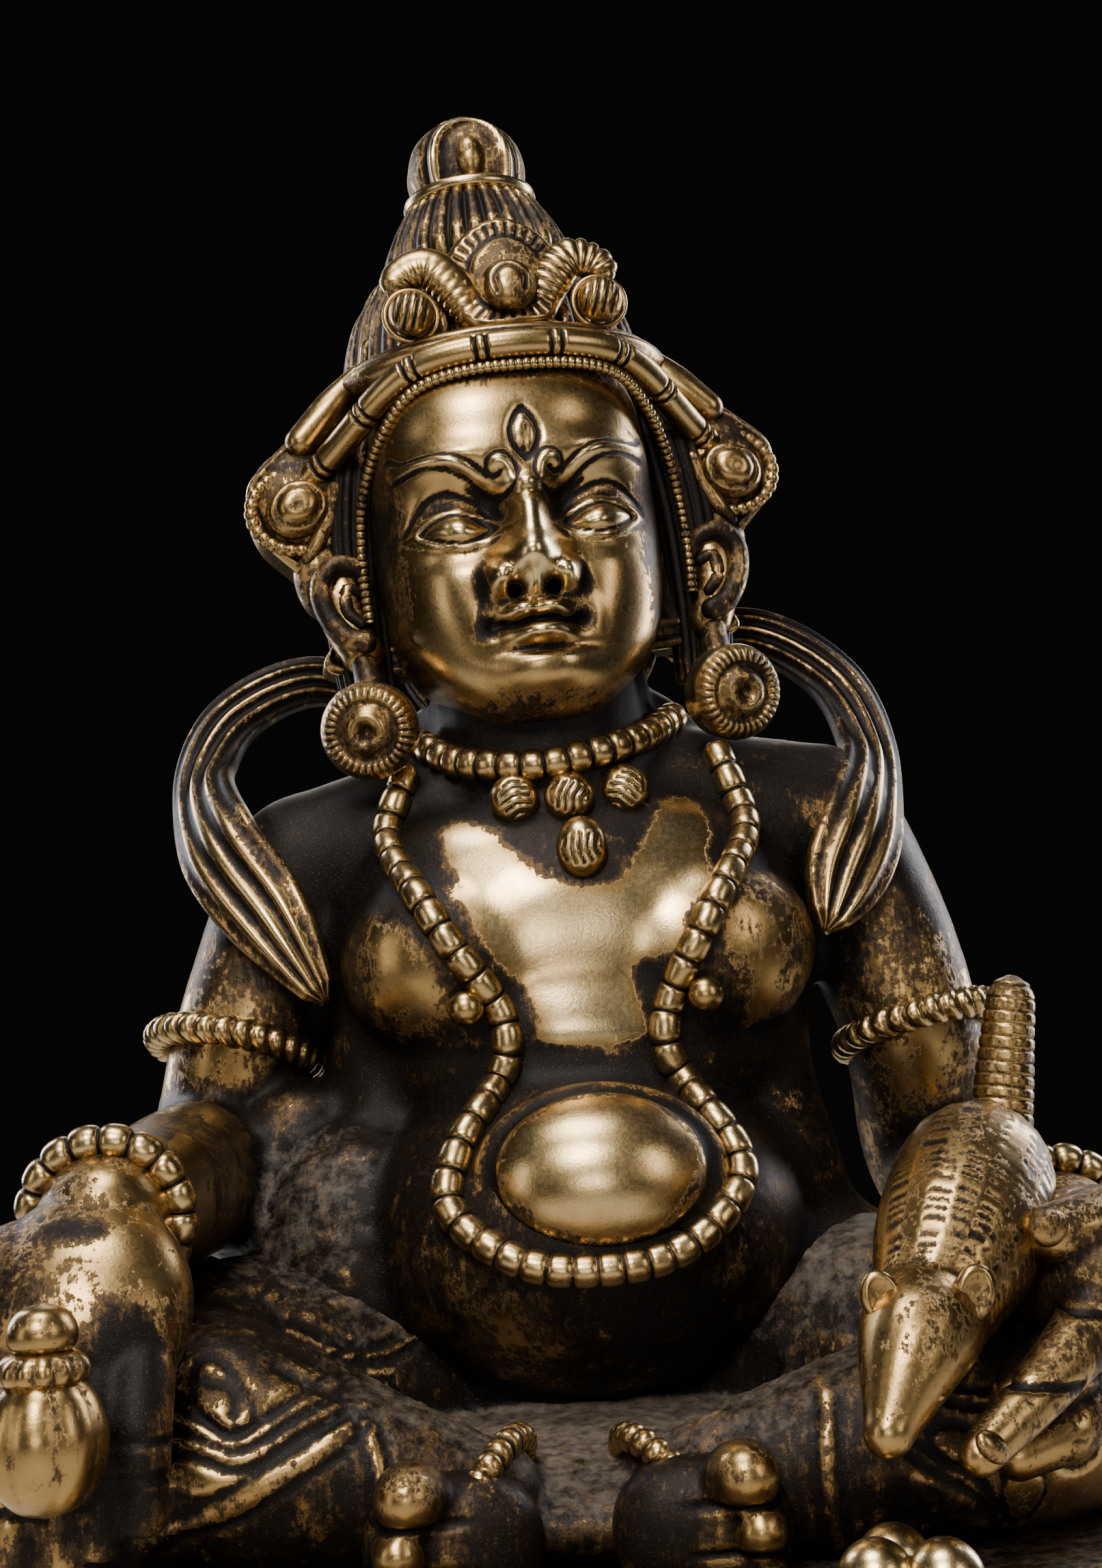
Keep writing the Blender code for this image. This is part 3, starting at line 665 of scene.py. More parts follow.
# %% Nipples and the raised oval on the belly
DISC_TILT = turned(-18)
DISC_CENTRE = np.array((2.6, -31.8, 45.2))
DISC = (18.2, 13.8, 13.6)
parts = [ball((x, -27.8, 70.5), (2.6, 2.4, 2.6), cells=14) for x in (-14.5, 19.5)]
piece("nipples", together(parts), 0.66)
disc_points, disc_faces = ball(DISC_CENTRE, DISC, DISC_TILT, cells=64)
across = (disc_points - DISC_CENTRE) @ DISC_TILT
edge = np.sqrt((across[:, 0] / DISC[0]) ** 2 + (across[:, 2] / DISC[2]) ** 2)
sunk = 0.8 * stripe(edge, 0.84, 0.05) - 0.5 * stripe(edge, 0.93, 0.05)
disc_points = disc_points - normals_of(disc_points, disc_faces) * sunk[:, None]
disc_polish = polish_of(disc_points, disc_faces, 0.66) - 0.5 * np.clip((edge - 0.62) / 0.14, 0, 1)
piece("belly_disc", (disc_points, disc_faces), disc_polish)

# %% [markdown]
# ## The folded legs
# The skirt is thin cloth over heavy legs. The carver drew it with a tracer: double lines for the hems,
# nested arcs for the folds round the knees, and a brocade of small clouds. The lines are drawn on the
# front and pressed in where the skin faces the viewer.

# %% Legs and lap
LEFT_SHIN = [(-62, -38, 18, 18), (-46, -50, 16, 16), (-29, -55, 12.5, 11), (-15, -57, 9, 7.8)]
RIGHT_SHIN = [(66, -38, 16, 16.5), (46, -52, 14, 14.5), (24, -56, 11, 10.5), (9, -55, 9, 7.6)]
masses = [
    ball((0, 2, 20), (40, 30, 23)),
    limb([(-18, -2, 18, 20), (-46, -20, 18, 20), (-62, -36, 19, 18)]),
    limb(LEFT_SHIN),
    limb([(18, -2, 18, 20), (46, -20, 18, 20), (66, -37, 17, 16.5)]),
    limb(RIGHT_SHIN),
    ball((0, -26, 6), (62, 38, 9)),
]
LEGS_CELL_MM = 0.72
LEGS_TRIANGLES_KEPT = 0.51
points, faces = fused(masses, LEGS_CELL_MM, passes=5)
x, y, h = points.T
normal = normals_of(points, faces)
HEMS = [
    [(-56, 9.5), (-51.5, 11.5), (-44.5, 14.5), (-36.5, 18.5), (-31.5, 21), (-28, 21)],
    [(-55, 6.5), (-51, 9), (-44.5, 10.5), (-36.5, 15), (-31.5, 17.5), (-28.5, 20)],
    [(-30, 21.5), (-28.5, 14), (-29, 6), (-30, 0)],
    [(-27.5, 21), (-26, 14), (-26.5, 6), (-27.5, 0)],
    [(25.5, 19.5), (24.5, 12), (25.5, 4), (27, 0)],
    [(28.5, 20.5), (27.5, 12), (28.5, 4), (30, 0)],
    [(34, 6.5), (42, 3.5), (48, 1.5), (53.5, 1.5), (59, 0)],
]
FOLDS = [[(-62 - s, 27 - s), (-56, 20.5 - s * 1.5), (-48.5, 18 - s), (-43.5, 16.5 - s), (-36, 20 - s),
          (-31, 22 - s)] for s in (0.0, -2.2, -4.4)]
FOLDS += [[(-64, 34), (-60, 30), (-55, 26.5), (-50, 24.5)], [(-64, 38), (-59, 34.5), (-54, 31.5)]]
FOLDS += [[(-40, 30 - s), (-34, 26.5 - s), (-29, 25.5 - s), (-24, 27 - s)] for s in (0, 2.2)]
FOLDS += [[(36, 24 - s), (42, 20.5 - s), (49, 19.5 - s), (56, 21 - s), (62, 24.5 - s)] for s in (0, 1.8)]
FOLDS += [[(33, 18 - s), (38, 13.5 - s), (44, 9.5 - s), (47, 5 - s)] for s in (0, 2.0)]
MOTIFS = [
    [(-49, 28.5), (-46.5, 28.5), (-43.5, 25.5), (-42, 22), (-44.5, 20), (-47.5, 22), (-49.5, 25)],
    [(47.5, 10), (51.5, 10.5), (53, 7.5), (51, 3.5), (48, 4)],
    [(54.5, 17), (58, 17), (60.5, 16), (60, 10.5), (56, 9.5), (53.5, 13)],
    [(38.5, 15.5), (41.5, 16.5), (44, 14.5), (42.5, 11.5), (39.5, 11.5)],
    [(-62, 22.5), (-58.5, 24), (-56, 21.5), (-57.5, 18), (-61, 18.5)],
]
ARCS = [[(-52, 32), (-50.5, 33.5), (-46.5, 33.5), (-43.5, 32.5), (-41, 30)],
        [(-48, 26.5), (-45.5, 26), (-44, 24), (-44.5, 22.5)],
        [(-61.5, 30), (-60, 31.5), (-57.5, 31), (-56.5, 29), (-58, 28)]]


def cloud_lines():
    """Small brocade scrolls, each a comma of three points, in staggered rows over the upper lap."""
    rows = [(-58, 36, 7, 3), (-50, 41, 7, 4), (36, 31, 7, 3), (44, 27, 7, 3), (50, 36, 6, 2)]
    scrolls = []
    for left, low, pitch, count in rows:
        for number in range(count):
            a, b = left + pitch * number, low - 1.3 * number
            scrolls.append([(a, b), (a + 1.6, b + 1.3), (a + 3.0, b + 0.4), (a + 2.2, b - 0.8)])
    return scrolls


BANDS = [[(-56, 8.0), (-51, 10.5), (-44.5, 12.5), (-36.5, 16.5), (-31.5, 19), (-28, 20.5)],
         [(-29, 21), (-27.5, 14), (-27.5, 6), (-29, 0)],
         [(27, 20), (26, 12), (27, 4), (28.5, 0)],
         [(-62, 24), (-56, 18), (-48.5, 15.5), (-43.5, 14.5)],
         [(34, 21.5), (42, 19), (49, 17.5), (56, 19), (62, 22.5)]]
facing = np.clip(-normal[:, 1] * 1.6, 0, 1)
pressed = 0.5 * grooves(x, h, HEMS, 0.6) + 0.6 * grooves(x, h, FOLDS + ARCS, 0.75)
pressed += 0.5 * grooves(x, h, MOTIFS, 0.55, closed=True) + 0.3 * grooves(x, h, cloud_lines(), 0.4)
pressed -= 0.45 * np.clip(1.6 * grooves(x, h, BANDS, 1.8), 0, 1)
pressed *= facing
carved = points - normal * pressed[:, None]
knees = np.maximum(bump(x, h, (-47, 24), (13, 12)), 0.8 * bump(x, h, (54, 13), (13, 11)))
edges = edges_of(faces)
sand = np.random.default_rng(11).normal(size=(len(points), 1))
grit, lumps = relaxed(sand, edges, 1)[:, 0], relaxed(sand, edges, 40)[:, 0]
in_lap = np.clip(normal[:, 2] * 1.3, 0, 1) * bump(x, y, (0, -40), (40, 30), 2)
carved += normal * (0.1 * in_lap * grit / grit.std() + 0.06 * lumps / lumps.std())[:, None]
legs_polish = polish_of(carved, faces, 0.27, 0.3, 1.2) + 0.1 * knees * facing - 0.08 * pressed
legs_polish += 0.3 * bump(x, h, (57, 9), (8, 9), 2) * facing
lap = np.clip(normal[:, 2] * 1.2, 0, 1) * np.clip(1.15 - 1.5 * knees, 0, 1)
dust = 0.46 * lap * np.clip(1.3 - np.abs(y + 20) / 60, 0, 1) + 0.3 * in_lap + 0.16
legs = piece("legs", (carved, faces), legs_polish, dust, LAP_BRONZE)
legs.modifiers.new("fewer_flat_faces", "DECIMATE").ratio = LEGS_TRIANGLES_KEPT

# %% Feet with their toes stacked


def foot(name, side, heel):
    """The sole faces the viewer; the toes lie one above another at its outer end."""
    masses = [
        ball((heel + 3 * side, -60, 6), (8, 7, 8)),
        ball((heel + 2 * side, -64, 6), (11, 6.5, 8.5), square=0.85),
    ]
    for toe in (
        [(5, -62, 9, 4.8), (6.5, -69, 12.4, 4.5), (6.8, -71, 12.8, 4.1)],
        [(6, -62, 5, 3.8), (8, -69, 6.2, 3.6), (8.2, -70.6, 6.4, 3.2)],
        [(6, -62, 2, 2.8), (8.5, -68.5, 1.8, 2.8)],
    ):
        masses.append(limb([(heel + reach * side, y, h, radius) for reach, y, h, radius in toe]))
    points, faces = fused(masses, FOOT_CELL_MM, passes=4)
    middle = (heel + 6.5 * side, -70.5, 9.0)
    on_toes = np.exp(-((np.linalg.norm((points - middle) / (6, 8, 10), axis=1)) ** 4))
    cut = on_toes * (stripe(points[:, 2], 9.6, 0.5) + stripe(points[:, 2], 4.1, 0.5))
    points = points + (0, 1.0, 0) * cut[:, None]
    piece(name, (points, faces), polish_of(points, faces, 0.24, 0.2, 1.3) + 0.2 * on_toes - 0.34 * cut)


FOOT_CELL_MM = 0.55
foot("foot_left", -1, -17)
foot("foot_right", 1, 9)

# %% [markdown]
# ## Hands, fruit and mongoose
# The hand on the left of the picture hangs open over the knee with a fruit in it; the other grips the
# mongoose, whose tail stands up beside the arm. Fingers are bars with the joint creases a tracer would
# cut, and two of them show a nail; each hand is fused by itself at a finer grain than the body, and the
# beaded bracelet hides the seam at the wrist.

# %% Open hand with the fruit


def creased(points, faces, knuckles, depth=0.5, width=0.45):
    """Presses a short groove across a finger at each knuckle (x, y, h), only within its own reach."""
    normal = normals_of(points, faces)
    sunk = np.zeros(len(points))
    for x, y, h in knuckles:
        close = np.linalg.norm((points - (x, y, h)) / (5.0, 6.0, 4.0), axis=1) < 1
        line = np.abs(points[:, 2] - h + 0.12 * (points[:, 0] - x)) / width
        sunk = np.where(close, np.maximum(sunk, np.exp(-(line**2))), sunk)
    return points - normal * (depth * sunk)[:, None], sunk


FINGERS = (-69.5, -64.5, -59.5, -54.5)
masses = [ball((-62, -65, 36), (13.5, 8.0, 15), turned(-28)), limb(ARM_LEFT[-2:])]
for number, x in enumerate(FINGERS):
    low = 7.5 + 2.2 * number
    masses.append(limb([(x, -66, 34, 4.4), (x + 0.5, -74, 24, 4.0), (x + 1.2, -76, low, 2.8)]))
masses.append(limb([(-70, -62, 42, 5.0), (-77, -70, 35, 4.2), (-75, -78, 28, 3.0)]))
OPEN_HAND_CELL_MM = 0.72
points, faces = fused(masses, OPEN_HAND_CELL_MM, passes=2)
knuckles = [(x + 0.5, -78, 22.5) for x in FINGERS]
knuckles += [(x + 1.0, -79, 15.5 + number) for number, x in enumerate(FINGERS)]
points, sunk = creased(points, faces, knuckles)
hand_polish = polish_of(points, faces, 0.4, 0.5, 2.4) - 0.3 * sunk
x, h = points[:, 0], points[:, 2]
hand_polish += 0.25 * bump(x, h, (-57, 43), (8, 9))
hand_polish -= 0.35 * bump(x, h, (-55.5, 20), (4, 12)) + 0.3 * bump(x, h, (-56, 31), (4.5, 7), 2)
hand_polish -= 0.4 * bump(x, h, (-61, 45.5), (4, 1.2))
piece("hand_open", (points, faces), hand_polish)

# %% The fruit: a lobed body, a frilled collar and a knob


def turned_form(axis_foot, table, cells=56, lobes=0, lobe_depth=0.0, rows=44):
    """A turned form: radius flows with height through the table; lobes add |cos(n a / 2)| round it."""
    height = np.linspace(table[0][0], table[-1][0], rows)
    radius = np.maximum(flow(height, table), 0.05)
    angle = circle(cells)
    swell = 1 - lobe_depth * (1 - np.abs(np.cos(lobes * angle / 2))) if lobes else np.ones(cells)
    grid = np.stack([radius[:, None] * swell * np.cos(angle), radius[:, None] * swell * np.sin(angle),
                     height[:, None] + 0 * angle], -1)
    return knit(grid + axis_foot)


FRUIT_FOOT = (-62.5, -84, 0)
FRUIT_BODY = [(15.9, 0.3), (17, 3.6), (20, 6.2), (24.5, 7.0), (28.6, 5.8), (31, 3.9)]
FRUIT_COLLAR = [(29.6, 3.0), (30.6, 5.0), (32.2, 5.2), (33.4, 4.2), (34, 2.4)]
FRUIT_KNOB = [(33.2, 2.2), (34.4, 3.7), (36.4, 3.8), (38.2, 2.6), (39, 0.3)]
fruit = together([
    turned_form(FRUIT_FOOT, FRUIT_BODY, cells=88, lobes=8, lobe_depth=0.05, rows=60),
    turned_form(FRUIT_FOOT, FRUIT_COLLAR, cells=98, lobes=14, lobe_depth=0.07, rows=28),
    turned_form(FRUIT_FOOT, FRUIT_KNOB),
])
piece("fruit", fruit, polish_of(*fruit, 0.54, 0.35))

# %% The gripping hand
masses = [ball((62, -58, 32), (9, 12, 11)), limb(ARM_RIGHT[-2:])]
masses.append(limb([(66, -56, 38, 4.8), (63.5, -63, 38.5, 4.4), (55.5, -66.5, 38, 3.6)]))
masses.append(limb([(64, -58, 34, 4.6), (60, -66, 28, 4.4), (51.5, -73, 21.5, 3.6), (41.5, -79.5, 15, 2.6)]))
for drop in (8, 15):
    masses.append(limb([(62, -56, 35 - drop, 4.2), (57, -64, 30 - drop, 3.8), (49, -66, 27 - drop, 3.0)]))
GRIPPING_HAND_CELL_MM = 0.65
points, faces = fused(masses, GRIPPING_HAND_CELL_MM, passes=2)
points, sunk = creased(points, faces, [(60, -68, 28.5), (51, -75, 21.5), (55.5, -66, 21)])
nails = [ball((54.4, -69.6, 38.8), (2.9, 1.5, 2.3), turned(8, 0, 24), cells=16),
         ball((42.6, -81.6, 16.2), (2.6, 1.2, 1.7), turned(-20, 34, 30), cells=16)]
whole = together([(points, faces), *nails])
piece("hand_gripping", whole, polish_of(*whole, 0.42, 0.3, 1.6) - 0.3 * extended(sunk, whole[0]))

# %% The mongoose's coat
SPINE = [(52.5, -48, 44.5), (50, -53, 44), (45, -61, 37), (39.5, -69, 30), (36, -75, 27), (31, -81.5, 18.5)]
masses = [
    limb([(52.5, -48, 44.5, 7.5), (50, -53, 44, 10.2), (45, -61, 37, 10.4), (39.5, -69, 30, 7.4)]),
    limb([(39.5, -69, 30, 7.2), (36, -75, 27, 6.8), (31, -81.5, 18.5, 3)]),
]
MONGOOSE_CELL_MM = 0.46
points, faces = fused(masses, MONGOOSE_CELL_MM, passes=3)
normal = normals_of(points, faces)
spine = smooth_line(SPINE, 60)
_distance, place = nearest(points, spine)
round_it = np.arctan2(normal[:, 2], normal[:, 0])
HAIR_MM, COLUMNS = 1.6, 14
column = round_it / math.tau * COLUMNS
u = 2 * (column % 1.0) - 1
phase = place / HAIR_MM + 0.4 * np.sin(2.4 * np.floor(column)) - 0.5 * u**2 + 0.3 * np.sin(place * 0.9)
tuft = notches(phase, 1.0, 0.17) * np.clip(1.6 - 2 * np.abs(u), 0, 1)
bare_snout = np.clip((length_of(spine) - place - 13) / 8, 0, 1)
tuft = tuft * bare_snout
points = points - normal * (0.15 * tuft)[:, None]
eyes = [ball(spot, (1.1, 0.9, 0.8), cells=10) for spot in ((31.0, -80.6, 23.6), (36.9, -80.4, 22.0))]
ears = []
for side in (-1, 1):
    spot, lean = (38 + 5.4 * side, -75.5, 32.5), turned(0, 18 * side)
    shape, skin = ball(spot, (2.5, 1.5, 3.4), lean, cells=26)
    local = (shape - spot) @ lean
    hollow = np.exp(-((np.hypot(local[:, 0] / 1.5, local[:, 2] / 2.4)) ** 4)) * (local[:, 1] < 0)
    ears.append((shape + (0, 1, 0) * (0.9 * hollow)[:, None], skin))
whole = together([(points, faces), *eyes, *ears])
piece("mongoose", whole, polish_of(*whole, 0.55, 0.5, 1.6) - 0.2 * extended(tuft, whole[0]))

# %% Its ringed tail
TAIL_ROWS = 160
tail_line = smooth_line([(55, -46, 46), (56.6, -45, 56), (59, -45, 70)], TAIL_ROWS)
along = np.linspace(0, length_of(tail_line), TAIL_ROWS)
angle = circle(48)
thick = np.interp(along, [0, 10, along[-1] - 3, along[-1] - 1, along[-1]], [4.2, 4.0, 3.3, 2.4, 0.6])
RING_MM = 1.7
ring_cut = notches(along, RING_MM, 0.14)[:, None]
stagger = (np.floor(along / RING_MM + 0.5) % 2)[:, None] * math.pi / 12
scale_cut = np.exp(-((np.mod(angle[None, :] + stagger, math.pi / 6) - math.pi / 12) / 0.09) ** 2)
radius = thick[:, None] - 0.22 * np.maximum(ring_cut, 0.3 * scale_cut)
tail = sweep(tail_line, (0, -1, 0.1), radius * np.cos(angle), radius * np.sin(angle))
piece("mongoose_tail", tail, polish_of(*tail, 0.46, 0.35))

# %% The jewels it drops
jewels = [ball((x, y, 3.6), (4.4, 4.4, 4.6), cells=22) for x, y in ((27.8, -85), (35, -87), (31, -78.5))]
jewels = together(jewels)
piece("dropped_jewels", jewels, polish_of(*jewels, 0.6))

# %% [markdown]
# ## The face
# A square, full mask with wide eyes, curled brows and a third eye set upright on the forehead. It is
# one grid: rows follow the silhouette from under the chin to the crown, columns run round the head and
# stand closest in front. The features are a relief over (x, h) that pushes the front of the grid out.

# %% The head's plain form
# Rows: half width, height, front y, middle y, back y
MASK = [
    (0.4, 0.6, -17.6, -17.2, -16.8),
    (6.6, 1.2, -22.4, -15.0, -8.0),
    (11.0, 3.8, -25.4, -11.5, -2.0),
    (15.9, 8.0, -26.4, -8.5, 6.0),
    (19.3, 12.8, -26.0, -6.5, 12.0),
    (21.2, 18.0, -25.9, -5.0, 16.0),
    (22.1, 25.0, -26.1, -4.0, 20.0),
    (22.3, 31.0, -25.4, -4.0, 23.0),
    (22.2, 37.0, -25.8, -4.0, 25.0),
    (21.9, 44.0, -26.8, -4.0, 26.0),
    (21.0, 50.0, -26.3, -4.0, 25.0),
    (19.0, 56.0, -23.5, -3.0, 22.0),
    (15.0, 61.0, -17.5, 0.0, 15.0),
]
FRONT_STEP = 0.88
MASK_ROWS = 196


def mask_grid():
    """x = W |sin a|^0.86, y = middle - depth |cos a|^0.72, with W and the depths from the silhouette."""
    rows = smooth_line(MASK, MASK_ROWS)
    front_angles = np.radians(np.arange(-100, 100, FRONT_STEP))
    back_angles = np.radians(np.linspace(100, 260, 42, endpoint=False))
    angle = np.concatenate([front_angles, back_angles])
    wide, height, fore, middle, back = (column[:, None] for column in rows.T)
    sine, cosine = np.sin(angle)[None, :], np.cos(angle)[None, :]
    x = wide * np.sign(sine) * np.abs(sine) ** 0.86
    depth = np.where(cosine > 0, middle - fore, back - middle)
    y = middle - depth * np.sign(cosine) * np.abs(cosine) ** 0.72
    return np.stack([x, y, height + 0 * angle], -1), np.clip(cosine * 2.2, 0, 1) + 0 * height


# %% The features, as a relief
BRIDGE_OUT = [(17, 0), (20, 1.5), (23, 4.4), (26, 5.4), (29, 5.2), (31.5, 4.2), (34, 2.8), (37, 1.2), (40, 0)]
BRIDGE_WIDE = [(15, 3.6), (24, 4.0), (28, 3.8), (31.5, 3.3), (35, 3.4), (40, 3.6)]
NOSE_SHIFT = 1.1
BROW = [(19.2, 42.3), (17.7, 40.9), (14, 40.9), (11, 40.5), (8.3, 39.2), (6.3, 37.6), (5.6, 36.8)]
BROW_LOW = [(18.6, 38.6), (15, 39.2), (11.3, 38.4), (8.7, 36.9), (6.6, 35), (4.8, 33.6)]
CURL = [(8.6, 35.6), (5, 33.5), (2.2, 34.5), (1.3, 37), (2.4, 39.5), (4, 40), (5.5, 39), (5.6, 37.4),
        (4.5, 36.6), (3.6, 37.2)]
LID_FOLD = [(4.6, 31.0), (6.4, 32.9), (8.8, 34.3), (11.8, 35.3), (14.4, 34.9), (16.4, 32.9), (18, 30.4)]
CHEEK_FOLD = [(7.0, 20.6), (8.3, 18.4), (9.4, 15.6), (9.2, 12.6)]
LIP_LINE = [(-6.2, 14.2), (-3.9, 13.9), (-2, 14.5), (-0.5, 14.1), (1, 14.5), (2.9, 13.9), (5.2, 14.2)]
BROW_RIDGE = [(18.8, 40.5), (15.5, 40.1), (12, 39.6), (9.2, 38.2), (7, 36.6)]
EYE = (10.7, 29.3)
EYE_HALF = (5.3, 2.45)


def features(x, h):
    """How far the mask stands out of the plain form, in mm: nose, lids, brows, lips and cheeks."""
    wide = np.abs(x)
    beside = x + NOSE_SHIFT * np.clip((36 - h) / 12, 0, 1)
    flank = np.abs(beside)
    bridge = flow(h, BRIDGE_OUT) * np.exp(-((flank / flow(h, BRIDGE_WIDE)) ** 2.2)) * (h < 40) * (h > 16)
    tip = 7.0 * bump(beside, h, (0, 23.4), (4.6, 4.4), 1.2)
    wings = 4.8 * bump(flank, h, (4.7, 20.8), (2.4, 2.6), 1.3)
    column = 4.6 * bump(beside, h, (0, 19.8), (1.6, 2.6), 1.2)
    out = (bridge**4 + tip**4 + wings**4 + column**4) ** 0.25
    out -= 3.2 * bump(flank, h, (2.9, 19.0), (1.1, 0.9), 1.8)
    out += 0.8 * bump(x, h, (0, 35.2), (3.4, 1.0)) - 0.7 * bump(x, h, (0, 33.2), (3.0, 0.7))
    out += 1.7 * bump(wide, h, (13.4, 20.5), (7.0, 7.5)) + 1.6 * bump(x, h, (0, 13.8), (9.0, 4.6))
    out += 2.0 * bump(x, h, (0, 7.0), (7.0, 3.6), 1.4)
    out -= 1.2 * bump(x, h, (0, 10.1), (6.0, 0.9))
    upper_lip = 2.4 * bump(flank, h, (2.1, 15.9), (2.5, 1.35), 1.3)
    lower_lip = 2.8 * bump(beside, h, (0.4, 12.3), (3.7, 1.6), 1.5)
    out += upper_lip + lower_lip
    out -= 1.9 * bump(flank, h, (6.4, 14.2), (1.3, 1.4)) + 0.8 * bump(beside, h, (0, 17.4), (0.9, 1.1))
    out -= 2.4 * bump(wide, h, (5.8, 31.5), (3.2, 5.0)) + 1.0 * bump(wide, h, (11.5, 33.8), (6.0, 2.6))
    out += 1.5 * bump(wide, h, (11.0, 40.0), (9.5, 2.6)) - 0.4 * bump(wide, h, (11, 24.8), (6, 1.4))
    return out


def eyes(x, h):
    """Ball, lids and iris ring as functions of q, the almond's own radius, and the line round the ball.
    s and v are x and h in half widths: q = (v + sqrt(v^2 + 4 s^2)) / 2 is 1 on two crossing parabolas."""
    wide = np.abs(x)
    s = (wide - EYE[0]) / EYE_HALF[0]
    lean = EYE[1] + 0.4 * s
    v = np.abs(h - lean) / (EYE_HALF[1] * np.where(h > lean, 1.0, 0.85))
    q = (v + np.sqrt(v**2 + 4 * s**2)) / 2
    close = (wide > 2.5) & (wide < 19) & (np.abs(h - EYE[1]) < 7)
    out = 1.9 * np.clip(1 - q**2, 0, 1) ** 0.7 + 0.85 * stripe(q, 1.24, 0.16)
    out -= 0.2 * stripe(q, 1.62, 0.12) * np.clip(lean + 1.0 - h, 0, 1)
    ring_place = np.hypot(wide - EYE[0] + 0.2, (h - EYE[1] - 0.3))
    out -= 0.14 * stripe(ring_place, 1.7, 0.22) * (q < 0.9)
    line = stripe(q, 1.02, 0.08) * close
    return (out - 0.5 * line) * close, line


def third_eye(x, h):
    """An upright almond cut into the forehead, with a small leaf line inside."""
    s, v = np.abs(x - 0.5) / 2.1, np.abs(h - 42.6) / 3.9
    q = (s + np.sqrt(s**2 + 4 * v**2)) / 2
    line = 1.2 * stripe(q, 1, 0.19)
    line += 0.8 * np.exp(-(((x - 0.5 - 0.14 * (h - 42)) / 0.36) ** 2)) * (np.abs(h - 41.8) < 2.1)
    return 0.4 * np.clip(1 - q, 0, 1) - 0.5 * line, line


grid, forward = mask_grid()
x, h = grid[..., 0].ravel(), grid[..., 2].ravel()
mirrored = np.abs(x)
drawn = np.maximum.reduce([
    grooves(mirrored, h, [BROW, BROW_LOW], 0.36),
    grooves(mirrored, h, [CURL], 0.38),
    0.8 * grooves(mirrored, h, [LID_FOLD], 0.42),
    0.15 * grooves(mirrored, h, [CHEEK_FOLD], 0.8),
])
mouth = grooves(x, h, [LIP_LINE], 0.55)
eye_relief, eye_line = eyes(x, h)
mark_relief, mark_line = third_eye(x, h)
relief = features(x, h) + eye_relief + mark_relief + 0.8 * bump(mirrored, h, (3.8, 37.2), (2.7, 2.9), 2)
relief += 0.6 * grooves(mirrored, h, [BROW_RIDGE], 1.3) - 0.5 * drawn - 1.6 * mouth
drawn = np.maximum.reduce([drawn, 0.7 * eye_line, mark_line])
grid[..., 1] -= relief.reshape(grid.shape[:2]) * forward
head_points, head_faces = knit(grid)
head_points = relaxed(head_points, edges_of(head_faces), 2)
head_shape = head_points.copy()
head_points = on_head(head_points + (FACE_MIDDLE, 0, 0))
cut = extended(np.maximum(drawn, mouth) * forward.ravel(), head_points)
head_polish_and_shade = polish_of(head_points, head_faces, 0.68, 0.16, 1.9) - 0.45 * cut
hh = head_shape[:, 2]
hx = np.abs(head_shape[:, 0] + NOSE_SHIFT * np.clip((36 - hh) / 12, 0, 1) * (hh > 10))
# Where the face is darkened or rubbed, and how much: dirt beside the nose, the lips and the chin, and
# painted shade under the brows, under the chin, in the nostrils and at the sides. The last two are
# rubbed instead: the tip and the wings of the nose.
DIRT_AND_SHADE = [
    ((5.4, 31), (2.0, 4.0), 0.42), ((7.2, 14), (2.2, 2.2), 0.5), ((7.6, 20), (1.2, 3.0), 0.46),
    ((3.4, 17.6), (2.8, 0.7), 0.2), ((20.8, 28), (3.6, 18), 0.36), ((0, 9.9), (5, 1.2), 0.15),
    ((12, 33.8), (5, 1.4), 0.2), ((0, 2), (16, 3.5), 0.25), ((2.9, 19.0), (1.1, 0.9), 0.75),
    ((0, 23.0), (4.0, 5.0), -0.24), ((4.6, 21.0), (1.9, 1.8), -0.2),
]
for place, reach, amount in DIRT_AND_SHADE:
    head_polish_and_shade -= amount * bump(hx, hh, place, reach)
head_polish_and_shade -= 0.3 * np.clip((hh - 49) / 4, 0, 1)
piece("face", (head_points, head_faces), head_polish_and_shade)
print(f"face: {np.ptp(hh):.1f} mm from under the chin to the crown")

# %% [markdown]
# ## Ears and earrings
# The ears hang long and lie half hidden between the face and the crown's side leaves. The earrings
# are round bosses that rest on the shoulders, each with a rim of radial strokes.

# %% Ears


def ear(side):
    """A rolled rim, a sunk shell inside it and a long lobe."""
    rim = [(25.4, -8.4, 26.6, 1.2), (27.2, -9.4, 29.0, 1.4), (30.4, -9.6, 29.4, 1.6), (32.6, -9.4, 26.6, 1.7),
           (32.2, -9.6, 22.2, 1.7), (29.8, -10.2, 18.2, 1.8), (27.0, -10.8, 16.8, 1.7)]
    inner = [(26.8, -8.8, 25.2, 0.9), (28.8, -9.2, 25.6, 1.1), (29.0, -9.6, 22.2, 1.1),
             (27.2, -10.0, 20.0, 0.9)]
    lobe = [(27.6, -8.0, 17.4, 2.0), (27.2, -9.0, 12.6, 2.1), (27.0, -10.4, 8.0, 2.4)]
    shell = [(26.0, -5.0, 30, 3.2), (29.2, -5.6, 26.6, 4.0), (29.2, -6.2, 21.4, 3.8), (27.4, -7.2, 16, 3.4)]
    mirror = np.array((side, 1, 1, 1))
    return [limb(np.array(line) * mirror, cells=16, step=0.6) for line in (rim, inner, lobe, shell)]


whole = headed(together([shell for side in (-1, 1) for shell in ear(side)]))
piece("ears", whole, polish_of(*whole, 0.14, 0.3, 1.2))

# %% Earrings


